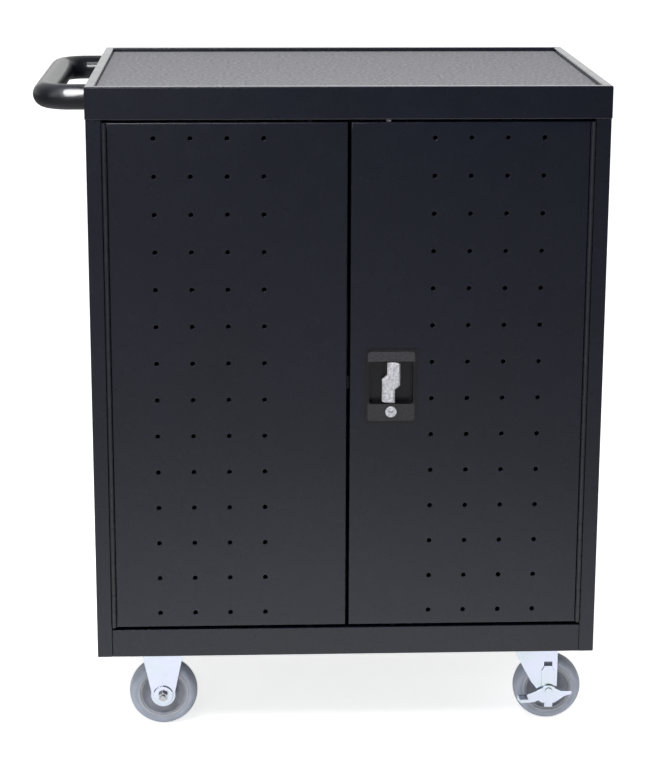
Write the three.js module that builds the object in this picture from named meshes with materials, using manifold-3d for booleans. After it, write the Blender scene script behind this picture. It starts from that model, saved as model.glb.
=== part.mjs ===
// Laptop charging cart: a sheet-steel cabinet on four casters, with perforated front doors
// on continuous hinges, a two-rod latch, laptop racks on two tiers and a rear power bay.
// Millimetres, x to the right, y to the back, z up from the floor.
import * as THREE from 'three';
import { mergeVertices } from 'three/addons/utils/BufferGeometryUtils.js';
import Module from 'manifold-3d';

const wasm = await Module();
wasm.setup();

// Cabinet
const BODY_WIDTH = 728;
const BODY_DEPTH = 481;
const BODY_HEIGHT = 836;
const SHEET = 1.2;
const SEAT = 0.3;
const RUNNING = 0.4;
const CUT_PAST = 2;
const WELD = 1e-4;
const ROUND_SIDES = 16;
const HEXAGON = 6;

// Top tray and its mat
const TRAY_OVERHANG = 1;
const TRAY_APRON = 46;
const TRAY_RETURN = 18;
const RIM_WIDTH = 13;
const RIM_DEPTH = 9;
const MAT_THICKNESS = 3;

// Folded side panels and base pan
const STILE_WIDTH = 22;
const STILE_RETURN = 16;
const RAIL_HEIGHT = 41.5;
const CHANNEL_WIDTH = 104;
const CHANNEL_SHEET = 2.5;

// Push handle
const GRIP_RADIUS = 18;
const GRIP_REACH = 62;
const GRIP_SPAN = 342;
const GRIP_DROP = 23;
const GRIP_BEND = 38;
const BEND_STEPS = 6;

// Doors
const DOOR_DEPTH = 22;
const DOOR_LIP = 12;
const REVEAL_TOP = 3.6;
const REVEAL_BOTTOM = 4.5;
const CENTRE_GAP = 4.5;
const FREE_GAP = 3.5;
const HOLE_RADIUS = 3.2;
const HOLE_COLUMNS = 4;
const HOLE_ROWS = 14;
const HOLE_PITCH_X = 50.8;
const HOLE_PITCH_Z = 53.6;
const HOLE_EDGE = 64.2;

// Continuous hinges
const LEAF_SHEET = 1.1;
const LEAF_WIDTH = 14;
const LEAF_SPREAD = 3.7;
const BARREL_RADIUS = 2.6;
const HINGE_PROUD = 1.2;
const PIN_RADIUS = 1.2;
const KNUCKLE_LENGTH = 50.8;
const REAR_KNUCKLE_LENGTH = 101.6;

// Lock pan, turn handle and key lock in the right door
const PAN_WIDTH = 67;
const PAN_HEIGHT = 102;
const PAN_LAP = 1.25;
const PAN_BORDER = 4;
const PAN_SHEET = 0.9;
const PAN_PROUD = 2;
const PAN_DEPTH = 13;
const PAN_FLOOR = 1.5;
const PAN_X = 61;
const PAN_Z = 408;
const RECESS_SIZE = 62.5;
const RECESS_CORNER = 4;
const TURN_Z = 413;
const TURN_RADIUS = 30.2;
const TURN_WIDTH = 25.6;
const TURN_BAR = 18.4;
const TURN_HEIGHT = 10.5;
const TURN_STEP = 10.5;
const TURN_SLOPE = 6.5;
const TURN_CHAMFER = 2.2;
const TURN_SIDES = 32;
const SPINDLE_SIDE = 7;
const PLUG_RADIUS = 8;
const PLUG_DROP = 42.6;
const PLUG_PROUD = 1.2;
const PLUG_LIP = 0.8;
const PLUG_SIDES = 20;
const KEYWAY_WIDTH = 1.4;
const KEYWAY_LENGTH = 8;
const KEYWAY_DEPTH = 6;

// Latch cam, rods and bolts
const CAM_SHEET = 2;
const CAM_RADIUS = 14;
const CRANK_RADIUS = 10;
const CRANK_PIN = 2;
const CRANK_SLACK = 0.7;
const STRAP_SHEET = 2.5;
const STRAP_WIDTH = 11;
const STRAP_TAIL = 14;
const ROD_RADIUS = 3.5;
const ROD_OFFSET = 5.9;
const ROD_SETBACK = 11.5;
const ROD_SIDES = 8;
const ROD_JOINT = 12;
const TIP_GAP = 1;
const GUIDE_DROP = 60;
const GUIDE_HEIGHT = 14;
const GUIDE_WALL = 3;
const GUIDE_FOOT = 6;
const BOLT_LENGTH = 62;
const BOLT_TAB_DROP = 26;
const BOLT_TAB_WIDTH = 20;
const BOLT_KNOB_RADIUS = 4;
const BOLT_KNOB_REACH = 18;
const BOLT_KNOB_END = 8;

// Interior
const SHELF_CLEAR = 8.5;
const SHELF_FLANGE = 20;
const PARTITION_Y = 130;
const CABLE_SLOT_WIDTH = 520;
const CABLE_SLOT_HEIGHT = 45;
const CABLE_SLOT_RISE = 285;
const RACK_SLOTS = 10;
const RACK_SHEET = 2;
const RACK_SIDE_CLEAR = 6;
const RACK_END_CLEAR = 4;
const RACK_HEIGHT = 240;
const RACK_FRONT_HEIGHT = 95;
const RACK_CURVE = 130;

// Power strips
const STRIP_LENGTH = 560;
const STRIP_HEIGHT = 44;
const STRIP_DEPTH = 34;
const STRIP_RISE = 150;
const STRIP_CORNER = 4;
const OUTLETS = 10;
const OUTLET_PITCH = 48;
const OUTLET_WIDTH = 27;
const OUTLET_HEIGHT = 30;
const OUTLET_DEPTH = 2.5;
const SWITCH_MARGIN = 24;
const ROCKER_LENGTH = 18.4;
const ROCKER_WIDTH = 12.4;
const ROCKER_SINK = 3.5;
const ROCKER_PROUD = 1.4;
const ROCKER_PIVOT = 2;
const ROCKER_SWING = 0.8;

// Rear door, cord grommet
const VENT_COUNT = 8;
const VENT_PITCH = 64;
const VENT_WIDTH = 5;
const VENT_LENGTH = 60;
const VENT_MARGIN = 24;
const REAR_LOCK_EDGE = 22.5;
const REAR_LOCK_RADIUS = 8;
const REAR_LOCK_FACE = 10;
const REAR_LOCK_PROUD = 3;
const REAR_CAM_LENGTH = 34;
const REAR_CAM_WIDTH = 14;
const REAR_CAM_CORNER = 4.67;
const REAR_CAM_GAP = 1;
const GROMMET_X = 120;
const GROMMET_RADIUS = 10.5;
const GROMMET_FLANGE = 14;
const GROMMET_LIP = 2.2;
const GROMMET_BORE = 6;

// Casters
const CASTER_INSET = 93;
const CASTER_SETBACK = 56;
const CASTER_HEIGHT = 127;
const PLATE_X = 92;
const PLATE_Y = 62;
const PLATE_SHEET = 3;
const PLATE_CORNER = 6;
const TYRE_RADIUS = 50.8;
const TYRE_WIDTH = 32;
const TYRE_SHOULDER = 5;
const TYRE_SIDES = 30;
const HUB_RADIUS = 33.7;
const HUB_RIM = 3.5;
const HUB_RIM_INSET = 1.5;
const HUB_WEB = 14;
const HUB_BOSS = 11;
const AXLE_SLEEVE = 6;
const AXLE_RADIUS = 4;
const AXLE_NUT = 7.5;
const AXLE_NUT_HEIGHT = 5.5;
const THREAD_PROUD = 3.5;
const RIVET_RADIUS = 5.6;
const RIVET_HEIGHT = 1.6;
const FORK_SHEET = 2.6;
const FORK_GAP = 2.6;
const FORK_TOP_WIDTH = 65;
const FORK_END_RADIUS = 18.3;
const FORK_ARC_STEPS = 5;
const FORK_RISE = Math.PI / 12;
const FORK_BOSS_RADIUS = 15.6;
const FORK_BOSS_SLOPE = 1.3;
const FORK_BOSS_HEIGHT = 2.2;
const TRAIL = 33.5;
const RACE_RADIUS = 29;
const RACE_NECK = 22;
const RACE_HEIGHT = 7.6;
const KING_RADIUS = 5;
const KING_NUT = 9.5;
const KING_NUT_HEIGHT = 6;
const SWIVEL_LEG_BACK = 49;
const SWIVEL_LEG_FRONT = 13;
const SWIVEL_LEG_TURN = 1.1 * Math.PI;
const STRAP_LEFT = 10.4;
const STRAP_RIGHT = 8.6;
const STRAP_SHOULDER = 31;
const STRAP_NECK = 37.5;
const STRAP_TOP = 39;
const STRAP_SLOT_WIDTH = 12;
const STRAP_SLOT_HEIGHT = 6;
const STRAP_SLOT_Z = 42;
const STRAP_THICKNESS = 2.2;
const LEVER_SHEET = 3;
const LEVER_HUB = 13;
const LEVER_TURN = 0.2 * Math.PI;
const LEVER_TOE = 46.5;
const LEVER_TOE_DROP = 6;
const LEVER_ARM = 13;
const LEVER_RAKE = 6;
const LEVER_NECK = 15.5;
const LEVER_NECK_DROP = 14.5;
const LEVER_HEEL = 34.4;
const LEVER_HEEL_WIDTH = 5;
const LEVER_HEEL_ROOT = 24;
const LEVER_PLATE = 18.5;
const LEVER_PLATE_WIDTH = 18;
const LEVER_TAB = 25.2;
const LEVER_TAB_WIDTH = 12.4;
const LEVER_SINK = 3.7;
const PEDAL_LENGTH = 14;
const PEDAL_REACH = 15;

// Finishes
function finish(color, roughness, metalness) {
  return new THREE.MeshStandardMaterial({ color, roughness, metalness });
}

const paint = finish(0x2b2c33, 0.45, 0.1);
const galvanised = finish(0xb4b7bc, 0.45, 0.9);
const zinc = finish(0xd4d8de, 0.25, 0.95);
const satinMetal = finish(0xc8cacd, 0.35, 0.9);
const blackPlastic = finish(0x17181a, 0.5, 0);
const glossBlack = finish(0x0d0d0f, 0.18, 0);
const matRubber = finish(0x8a8a8f, 0.85, 0);
const tyreRubber = finish(0x878a91, 0.7, 0);
const hubPlastic = finish(0x5a5c61, 0.55, 0);
const rackPlastic = finish(0x3a3b40, 0.6, 0);

// Heights and planes that the pieces share
const BODY_BOTTOM = CASTER_HEIGHT + SEAT;
const RIM_TOP = BODY_BOTTOM + BODY_HEIGHT;
const TRAY_BOTTOM = RIM_TOP - TRAY_APRON;
const TRAY_HALF_X = BODY_WIDTH / 2 + TRAY_OVERHANG;
const TRAY_HALF_Y = BODY_DEPTH / 2 + TRAY_OVERHANG;
const DECK_TOP = RIM_TOP - RIM_DEPTH;
const FACE_Y = BODY_DEPTH / 2;
const WALL_X = BODY_WIDTH / 2 - SHEET;
const STILE_X = BODY_WIDTH / 2 - STILE_WIDTH;
const FLOOR_TOP = BODY_BOTTOM + RAIL_HEIGHT;
const SHELF_TOP = (FLOOR_TOP + TRAY_BOTTOM) / 2;
const SHELF_FRONT = -FACE_Y + DOOR_DEPTH + SHELF_CLEAR;
const DOOR_BOTTOM = FLOOR_TOP + REVEAL_BOTTOM;
const DOOR_TOP = TRAY_BOTTOM - REVEAL_TOP;
const LEAF_OUTER = LEAF_SPREAD / 2 + LEAF_SHEET;
const HINGE_X = STILE_X - SEAT - LEAF_OUTER;
const HINGE_Y = FACE_Y + HINGE_PROUD;
const DOOR_X = HINGE_X - LEAF_OUTER - SEAT;
const ROD_Y = -FACE_Y + ROD_SETBACK;
const AXLE_Z = TYRE_RADIUS * Math.cos(Math.PI / TYRE_SIDES);
const CASTER_X = BODY_WIDTH / 2 - CASTER_INSET;
const CASTER_Y = FACE_Y - CASTER_SETBACK;

// A closed geometry as a solid that can be joined and cut
function solid(geometry) {
  const bare = geometry.clone();
  bare.deleteAttribute('normal');
  bare.deleteAttribute('uv');
  const merged = mergeVertices(bare, WELD);
  return new wasm.Manifold(new wasm.Mesh({
    numProp: 3,
    vertProperties: merged.attributes.position.array,
    triVerts: new Uint32Array(merged.index.array),
  }));
}

const join = (first, ...rest) => rest.reduce((body, other) => body.add(other), first);
const cut = (first, ...rest) => rest.reduce((body, other) => body.subtract(other), first);

// A solid as a named mesh
function piece(name, body, material) {
  const { vertProperties, triVerts } = body.getMesh();
  const geometry = new THREE.BufferGeometry();
  geometry.setAttribute('position', new THREE.BufferAttribute(new Float32Array(vertProperties), 3));
  geometry.setIndex(new THREE.BufferAttribute(new Uint32Array(triVerts), 1));
  geometry.computeVertexNormals();
  const mesh = new THREE.Mesh(geometry, material);
  mesh.name = name;
  return mesh;
}

// A block between two corners
function block(x0, x1, y0, y1, z0, z1) {
  const geometry = new THREE.BoxGeometry(Math.abs(x1 - x0), Math.abs(y1 - y0), Math.abs(z1 - z0));
  return solid(geometry.translate((x0 + x1) / 2, (y0 + y1) / 2, (z0 + z1) / 2));
}

// An outline carried along x, y or z between two places
function prism(axis, shape, from, to, curveSegments = 3) {
  const low = Math.min(from, to);
  const depth = Math.abs(to - from);
  const geometry = new THREE.ExtrudeGeometry(shape, { depth, bevelEnabled: false, curveSegments });
  geometry.translate(0, 0, low);
  return solid(turnTo(axis, geometry));
}

// Outlines are drawn in y and z for x, in x and z for y, and in x and y for z
function turnTo(axis, geometry) {
  const right = new THREE.Vector3(1, 0, 0);
  const back = new THREE.Vector3(0, 1, 0);
  const up = new THREE.Vector3(0, 0, 1);
  const turn = new THREE.Matrix4();
  if (axis === 'x') {
    turn.makeBasis(back, up, right);
  }
  if (axis === 'y') {
    turn.makeBasis(right, up, back);
    geometry.applyMatrix4(turn);
    return flipped(geometry);
  }
  return geometry.applyMatrix4(turn);
}

// The same surface with its faces turned over, after a mirrored change of axes
function flipped(geometry) {
  const open = geometry.index ? geometry.toNonIndexed() : geometry;
  const places = open.attributes.position;
  for (let i = 0; i < places.count; i += 3) {
    const a = new THREE.Vector3().fromBufferAttribute(places, i + 1);
    const b = new THREE.Vector3().fromBufferAttribute(places, i + 2);
    places.setXYZ(i + 1, b.x, b.y, b.z);
    places.setXYZ(i + 2, a.x, a.y, a.z);
  }
  return open;
}

// A round bar along x, y or z; the centre gives the other two coordinates
function bar(axis, radius, from, to, centre, sides = 12) {
  const geometry = new THREE.CylinderGeometry(radius, radius, Math.abs(to - from), sides);
  const middle = (from + to) / 2;
  if (axis === 'x') {
    geometry.rotateZ(Math.PI / 2).translate(middle, centre[0], centre[1]);
  }
  if (axis === 'y') {
    geometry.translate(centre[0], middle, centre[1]);
  }
  if (axis === 'z') {
    geometry.rotateX(Math.PI / 2).translate(centre[0], centre[1], middle);
  }
  return solid(geometry);
}

// A ring turned about the y axis from radius and width pairs, with a flat facing down
function turned(profile, sides) {
  const points = profile.map(([radius, along]) => new THREE.Vector2(radius, along));
  points.push(points[0].clone());
  return solid(new THREE.LatheGeometry(points, sides, Math.PI / sides));
}

function polygon(points) {
  return new THREE.Shape(points.map(([a, b]) => new THREE.Vector2(a, b)));
}

// A rectangle with round corners, drawn about its centre
function roundedRectangle(width, height, radius, centreA, centreB) {
  const a0 = centreA - width / 2;
  const a1 = centreA + width / 2;
  const b0 = centreB - height / 2;
  const b1 = centreB + height / 2;
  const shape = new THREE.Shape();
  shape.moveTo(a0 + radius, b0);
  shape.lineTo(a1 - radius, b0);
  shape.absarc(a1 - radius, b0 + radius, radius, -Math.PI / 2, 0);
  shape.lineTo(a1, b1 - radius);
  shape.absarc(a1 - radius, b1 - radius, radius, 0, Math.PI / 2);
  shape.lineTo(a0 + radius, b1);
  shape.absarc(a0 + radius, b1 - radius, radius, Math.PI / 2, Math.PI);
  shape.lineTo(a0, b0 + radius);
  shape.absarc(a0 + radius, b0 + radius, radius, Math.PI, 1.5 * Math.PI);
  return shape;
}

// A moving body: a group at its pivot, with meshes that keep the cabinet's coordinates
function body(name, pivot, meshes) {
  const group = new THREE.Group();
  group.name = name;
  group.position.set(...pivot);
  for (const mesh of meshes) {
    mesh.position.sub(group.position);
    group.add(mesh);
  }
  return group;
}

// Top tray: apron, hollow rim, sunk deck and a return lip with the upper latch holes
function topTray() {
  const wallX = TRAY_HALF_X - SHEET;
  const wallY = TRAY_HALF_Y - SHEET;
  const lipX = TRAY_HALF_X - TRAY_RETURN;
  const lipY = TRAY_HALF_Y - TRAY_RETURN;
  const wellX = TRAY_HALF_X - RIM_WIDTH;
  const wellY = TRAY_HALF_Y - RIM_WIDTH;
  const deckUnder = DECK_TOP - SHEET;
  const outside = block(-TRAY_HALF_X, TRAY_HALF_X, -TRAY_HALF_Y, TRAY_HALF_Y, TRAY_BOTTOM, RIM_TOP);
  const well = block(-wellX, wellX, -wellY, wellY, DECK_TOP, RIM_TOP + CUT_PAST);
  const hollow = block(-wallX, wallX, -wallY, wallY, TRAY_BOTTOM + SHEET, RIM_TOP - SHEET);
  const wellShell = block(-wellX - SHEET, wellX + SHEET, -wellY - SHEET, wellY + SHEET, deckUnder, RIM_TOP);
  const mouth = block(-lipX, lipX, -lipY, lipY, TRAY_BOTTOM - CUT_PAST, TRAY_BOTTOM + SHEET + CUT_PAST);
  const keepers = latchPlaces().map((x) => bar('z', ROD_RADIUS + RUNNING * 2, TRAY_BOTTOM - CUT_PAST,
    TRAY_BOTTOM + SHEET + CUT_PAST, [x, ROD_Y], ROD_SIDES));
  return piece('top_tray', cut(outside, well, cut(hollow, wellShell), mouth, ...keepers), paint);
}

// Where the left door's bolts and the right door's upper rod meet the frame
function latchPlaces() {
  return [-(PAN_X - ROD_OFFSET), PAN_X - ROD_OFFSET];
}

function topMat() {
  const halfX = TRAY_HALF_X - RIM_WIDTH - SEAT;
  const halfY = TRAY_HALF_Y - RIM_WIDTH - SEAT;
  const bottom = DECK_TOP + SEAT;
  return piece('top_mat', block(-halfX, halfX, -halfY, halfY, bottom, bottom + MAT_THICKNESS), matRubber);
}

// Side panel: one sheet folded into a wall, a front and a rear stile, and their return lips
function sidePanel(name, side) {
  const lipX = STILE_X + SHEET;
  const lipY = FACE_Y - STILE_RETURN;
  const inY = FACE_Y - SHEET;
  const half = [[BODY_WIDTH / 2, FACE_Y], [STILE_X, FACE_Y], [STILE_X, lipY], [lipX, lipY], [lipX, inY],
    [WALL_X, inY]];
  const other = half.map(([x, y]) => [x, -y]).reverse();
  const outline = [...half, ...other].map(([x, y]) => [side * x, y]);
  return piece(name, prism('z', polygon(outline), BODY_BOTTOM, TRAY_BOTTOM - SEAT), paint);
}

// Plan of the base pan, notched round the stiles' return lips, drawn in by a wall
function basePlan(wall) {
  const narrow = STILE_X - SEAT - wall;
  const wide = WALL_X - SEAT - wall;
  const face = FACE_Y - wall;
  const notch = FACE_Y - STILE_RETURN - SEAT - wall;
  const quarter = [[wide, 0], [wide, notch], [narrow, notch], [narrow, face]];
  const mirrored = quarter.slice(1).map(([x, y]) => [-x, y]).reverse();
  const back = [...quarter.slice(1), ...mirrored];
  const front = back.map(([x, y]) => [-x, -y]);
  return polygon([...back, ...front]);
}

// Base pan: floor and downward flanges; its front flange is the rail under the doors
function basePan() {
  const outside = prism('z', basePlan(0), BODY_BOTTOM, FLOOR_TOP);
  const inside = prism('z', basePlan(SHEET), BODY_BOTTOM - CUT_PAST, FLOOR_TOP - SHEET);
  const places = [-(PAN_X - ROD_OFFSET), PAN_X + ROD_OFFSET];
  const keepers = places.map((x) => bar('z', ROD_RADIUS + RUNNING * 2, FLOOR_TOP - SHEET - CUT_PAST,
    FLOOR_TOP + CUT_PAST, [x, ROD_Y], ROD_SIDES));
  const cordHole = bar('y', GROMMET_RADIUS + SEAT, FACE_Y - SHEET - CUT_PAST, FACE_Y + CUT_PAST,
    [GROMMET_X, grommetZ()]);
  return piece('base_pan', cut(outside, inside, cordHole, ...keepers), paint);
}

function grommetZ() {
  return BODY_BOTTOM + RAIL_HEIGHT / 2;
}

// Rubber grommet that grips the edge of the cord hole on both sides
function cordGrommet() {
  const centre = [GROMMET_X, grommetZ()];
  const inner = FACE_Y - SHEET - SEAT;
  const outer = FACE_Y + SEAT;
  const neck = bar('y', GROMMET_RADIUS, inner, outer, centre);
  const front = bar('y', GROMMET_FLANGE, inner - GROMMET_LIP, inner, centre);
  const rear = bar('y', GROMMET_FLANGE, outer, outer + GROMMET_LIP, centre);
  const bore = bar('y', GROMMET_BORE, inner - GROMMET_LIP - CUT_PAST, outer + GROMMET_LIP + CUT_PAST, centre);
  return piece('cord_grommet', cut(join(neck, front, rear), bore), blackPlastic);
}

// Channel under the floor that carries a front and a rear caster
function casterChannel(name, side) {
  const x0 = side * CASTER_X - CHANNEL_WIDTH / 2;
  const x1 = x0 + CHANNEL_WIDTH;
  const top = FLOOR_TOP - SHEET - SEAT;
  const web = BODY_BOTTOM + CHANNEL_SHEET;
  const outline = polygon([[x0, BODY_BOTTOM], [x1, BODY_BOTTOM], [x1, top], [x1 - CHANNEL_SHEET, top],
    [x1 - CHANNEL_SHEET, web], [x0 + CHANNEL_SHEET, web], [x0 + CHANNEL_SHEET, top], [x0, top]]);
  const end = FACE_Y - SHEET - SEAT;
  return piece(name, prism('y', outline, -end, end), paint);
}

function middleShelf() {
  const halfX = WALL_X - SEAT;
  const back = PARTITION_Y - SEAT;
  const low = SHELF_TOP - SHELF_FLANGE;
  const outside = block(-halfX, halfX, SHELF_FRONT, back, low, SHELF_TOP);
  const inside = block(-halfX + SHEET, halfX - SHEET, SHELF_FRONT + SHEET, back - SHEET, low - CUT_PAST,
    SHELF_TOP - SHEET);
  return piece('middle_shelf', cut(outside, inside), paint);
}

// The floor of each tier: base pan and middle shelf
const TIERS = [['lower', FLOOR_TOP], ['upper', SHELF_TOP]];

// Partition between the laptops and the power bay, with one cable slot for each tier
function backPartition() {
  const halfX = WALL_X - SEAT;
  const sheet = block(-halfX, halfX, PARTITION_Y, PARTITION_Y + SHEET, FLOOR_TOP + SEAT, TRAY_BOTTOM - SEAT);
  const slots = TIERS.map(([, floor]) => {
    const outline = roundedRectangle(CABLE_SLOT_WIDTH, CABLE_SLOT_HEIGHT, CABLE_SLOT_HEIGHT / 2, 0,
      floor + CABLE_SLOT_RISE);
    return prism('y', outline, PARTITION_Y - CUT_PAST, PARTITION_Y + SHEET + CUT_PAST, 2);
  });
  return piece('back_partition', cut(sheet, ...slots), paint);
}

// Rack of upright dividers on one base; laptops stand on edge between them
function dividerRack(name, floor) {
  const halfX = STILE_X - RACK_SIDE_CLEAR;
  const front = SHELF_FRONT + RACK_END_CLEAR;
  const back = PARTITION_Y - RACK_END_CLEAR;
  const bottom = floor + SEAT;
  const top = bottom + RACK_HEIGHT;
  const outline = new THREE.Shape();
  outline.moveTo(front, bottom);
  outline.lineTo(back, bottom);
  outline.lineTo(back, top);
  outline.lineTo(front + RACK_CURVE, top);
  outline.quadraticCurveTo(front, top, front, bottom + RACK_FRONT_HEIGHT);
  const pitch = (2 * halfX - RACK_SHEET) / RACK_SLOTS;
  let rack = block(-halfX, halfX, front, back, bottom, bottom + RACK_SHEET);
  for (let i = 0; i <= RACK_SLOTS; i += 1) {
    const x = -halfX + i * pitch;
    rack = rack.add(prism('x', outline, x, x + RACK_SHEET));
  }
  return piece(name, rack, rackPlastic);
}

// Power strip on the rear of the partition: outlet pockets and a switch well
function powerStrip(name, floor) {
  const y0 = PARTITION_Y + SHEET + SEAT;
  const y1 = y0 + STRIP_DEPTH;
  const z = floor + STRIP_RISE;
  let strip = prism('x', roundedRectangle(STRIP_DEPTH, STRIP_HEIGHT, STRIP_CORNER, (y0 + y1) / 2, z),
    -STRIP_LENGTH / 2, STRIP_LENGTH / 2, 1);
  for (let i = 0; i < OUTLETS; i += 1) {
    const left = outletX(i) - OUTLET_WIDTH / 2;
    strip = strip.subtract(block(left, left + OUTLET_WIDTH, y1 - OUTLET_DEPTH, y1 + CUT_PAST,
      z - OUTLET_HEIGHT / 2, z + OUTLET_HEIGHT / 2));
  }
  const wellX = ROCKER_LENGTH / 2 + ROCKER_SWING;
  const wellZ = ROCKER_WIDTH / 2 + SEAT;
  const wellDepth = ROCKER_SINK + ROCKER_SWING * 3;
  const x = switchX();
  const well = block(x - wellX, x + wellX, y1 - wellDepth, y1 + CUT_PAST, z - wellZ, z + wellZ);
  return piece(name, strip.subtract(well), blackPlastic);
}

function outletX(i) {
  return STRIP_LENGTH / 2 - SWITCH_MARGIN * 2 - OUTLET_WIDTH / 2 - i * OUTLET_PITCH;
}

function switchX() {
  return STRIP_LENGTH / 2 - SWITCH_MARGIN;
}

// Rocker switch, dished on its face, rocking about an upright pivot
function powerSwitch(tier, floor) {
  const face = PARTITION_Y + SHEET + SEAT + STRIP_DEPTH;
  const z = floor + STRIP_RISE;
  const x = switchX();
  const half = ROCKER_LENGTH / 2;
  const outline = polygon([[x - half, face - ROCKER_SINK], [x + half, face - ROCKER_SINK],
    [x + half, face + ROCKER_PROUD], [x, face], [x - half, face + ROCKER_PROUD]]);
  const rocker = prism('z', outline, z - ROCKER_WIDTH / 2, z + ROCKER_WIDTH / 2);
  return body(`${tier}_switch`, [x, face - ROCKER_PIVOT, z],
    [piece(`${tier}_power_switch`, rocker, glossBlack)]);
}

// The push handle's centre line: out from the tray, round a bend, along its end and back
class HandleLine extends THREE.Curve {
  constructor() {
    super();
    const startX = -TRAY_HALF_X - SEAT;
    const barX = -TRAY_HALF_X - GRIP_REACH;
    const half = GRIP_SPAN / 2;
    const z = RIM_TOP - GRIP_DROP;
    this.knots = [[startX, -half, z]];
    for (const end of [-1, 1]) {
      for (let i = 0; i <= BEND_STEPS; i += 1) {
        const angle = ((end < 0 ? i : BEND_STEPS - i) / BEND_STEPS) * Math.PI / 2;
        const x = barX + GRIP_BEND * (1 - Math.sin(angle));
        const y = end * (half - GRIP_BEND * (1 - Math.cos(angle)));
        this.knots.push([x, y, z]);
      }
    }
    this.knots.push([startX, half, z]);
  }

  getUtoTmapping(u) {
    return u;
  }

  getPoint(t, target = new THREE.Vector3()) {
    const place = Math.min(Math.max(t, 0), 1) * (this.knots.length - 1);
    const index = Math.min(Math.floor(place), this.knots.length - 2);
    const from = new THREE.Vector3(...this.knots[index]);
    return target.copy(from).lerp(new THREE.Vector3(...this.knots[index + 1]), place - index);
  }

  getTangent(t, target = new THREE.Vector3()) {
    const last = this.knots.length - 1;
    const index = Math.round(t * last);
    const before = index === 0 ? 0 : index - 1;
    const after = index === last ? last : index + 1;
    const here = new THREE.Vector3(...this.knots[index]);
    const into = here.clone().sub(new THREE.Vector3(...this.knots[before])).normalize();
    const out = new THREE.Vector3(...this.knots[after]).sub(here).normalize();
    return target.copy(into).add(out).normalize();
  }
}

function pushHandle() {
  const line = new HandleLine();
  const section = new THREE.Shape();
  section.absarc(0, 0, GRIP_RADIUS, 0, 2 * Math.PI);
  const tube = new THREE.ExtrudeGeometry(section, {
    steps: line.knots.length - 1,
    curveSegments: ROUND_SIDES / 2,
    extrudePath: line,
  });
  return piece('push_handle', solid(tube), glossBlack);
}

// A door pan: skin, flanges and return lips, open at its back
function doorPan(x0, x1, face) {
  const skin = face * FACE_Y;
  const inside = face * (FACE_Y - SHEET);
  const lip = face * (FACE_Y - DOOR_DEPTH + SHEET);
  const back = face * (FACE_Y - DOOR_DEPTH);
  const past = face * (FACE_Y - DOOR_DEPTH - CUT_PAST);
  const outside = block(x0, x1, skin, back, DOOR_BOTTOM, DOOR_TOP);
  const hollow = block(x0 + SHEET, x1 - SHEET, inside, lip, DOOR_BOTTOM + SHEET, DOOR_TOP - SHEET);
  const mouth = block(x0 + DOOR_LIP, x1 - DOOR_LIP, inside, past, DOOR_BOTTOM + DOOR_LIP,
    DOOR_TOP - DOOR_LIP);
  return cut(outside, hollow, mouth);
}

// The round vent holes of a front door, in columns counted from its hinge edge
function ventHoles(side) {
  const holes = [];
  const firstZ = (DOOR_BOTTOM + DOOR_TOP - (HOLE_ROWS - 1) * HOLE_PITCH_Z) / 2;
  for (let column = 0; column < HOLE_COLUMNS; column += 1) {
    for (let row = 0; row < HOLE_ROWS; row += 1) {
      const x = side * (DOOR_X - HOLE_EDGE - column * HOLE_PITCH_X);
      const z = firstZ + row * HOLE_PITCH_Z;
      holes.push(bar('y', HOLE_RADIUS, -FACE_Y - CUT_PAST, -FACE_Y + SHEET + CUT_PAST, [x, z], HEXAGON));
    }
  }
  return holes;
}

// Holes for a rod or bolt in the upper and lower flange of a front door
function flangeHoles(topX, bottomX) {
  const reach = SHEET + CUT_PAST;
  const hole = (x, z) => bar('z', ROD_RADIUS + RUNNING, z - reach, z + reach, [x, ROD_Y], ROD_SIDES);
  return [hole(topX, DOOR_TOP), hole(bottomX, DOOR_BOTTOM)];
}

// Left door: its two slide bolts run in the flanges and in tabs folded from the pan
function leftDoor() {
  const x = -(PAN_X - ROD_OFFSET);
  const tab = (z) => block(x - BOLT_TAB_WIDTH / 2, x + BOLT_TAB_WIDTH / 2, -FACE_Y + SHEET / 2,
    ROD_Y + BOLT_TAB_WIDTH / 2, z, z + SHEET);
  const tabs = [DOOR_TOP - BOLT_TAB_DROP, DOOR_BOTTOM + BOLT_TAB_DROP];
  const bores = tabs.map((z) => bar('z', ROD_RADIUS + RUNNING, z - CUT_PAST, z + SHEET + CUT_PAST, [x, ROD_Y],
    ROD_SIDES));
  const pan = join(doorPan(-DOOR_X, -CENTRE_GAP / 2, -1), ...tabs.map(tab));
  return piece('left_door', cut(pan, ...bores, ...ventHoles(-1), ...flangeHoles(x, x)), paint);
}

// Slide bolt of the left door, with a knob to draw it by; end is 1 at the top and -1 below
function slideBolt(name, end) {
  const x = -(PAN_X - ROD_OFFSET);
  const tip = end > 0 ? TRAY_BOTTOM - TIP_GAP : FLOOR_TOP + TIP_GAP;
  const tail = tip - end * BOLT_LENGTH;
  const knobZ = tail + end * BOLT_KNOB_END;
  const shank = bar('z', ROD_RADIUS, tail, tip, [x, ROD_Y], ROD_SIDES);
  const knob = bar('y', BOLT_KNOB_RADIUS, ROD_Y, ROD_Y + BOLT_KNOB_REACH, [x, knobZ], ROD_SIDES);
  return body(name, [x, ROD_Y, tip], [piece(`${name}_pin`, join(shank, knob), zinc)]);
}

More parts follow.
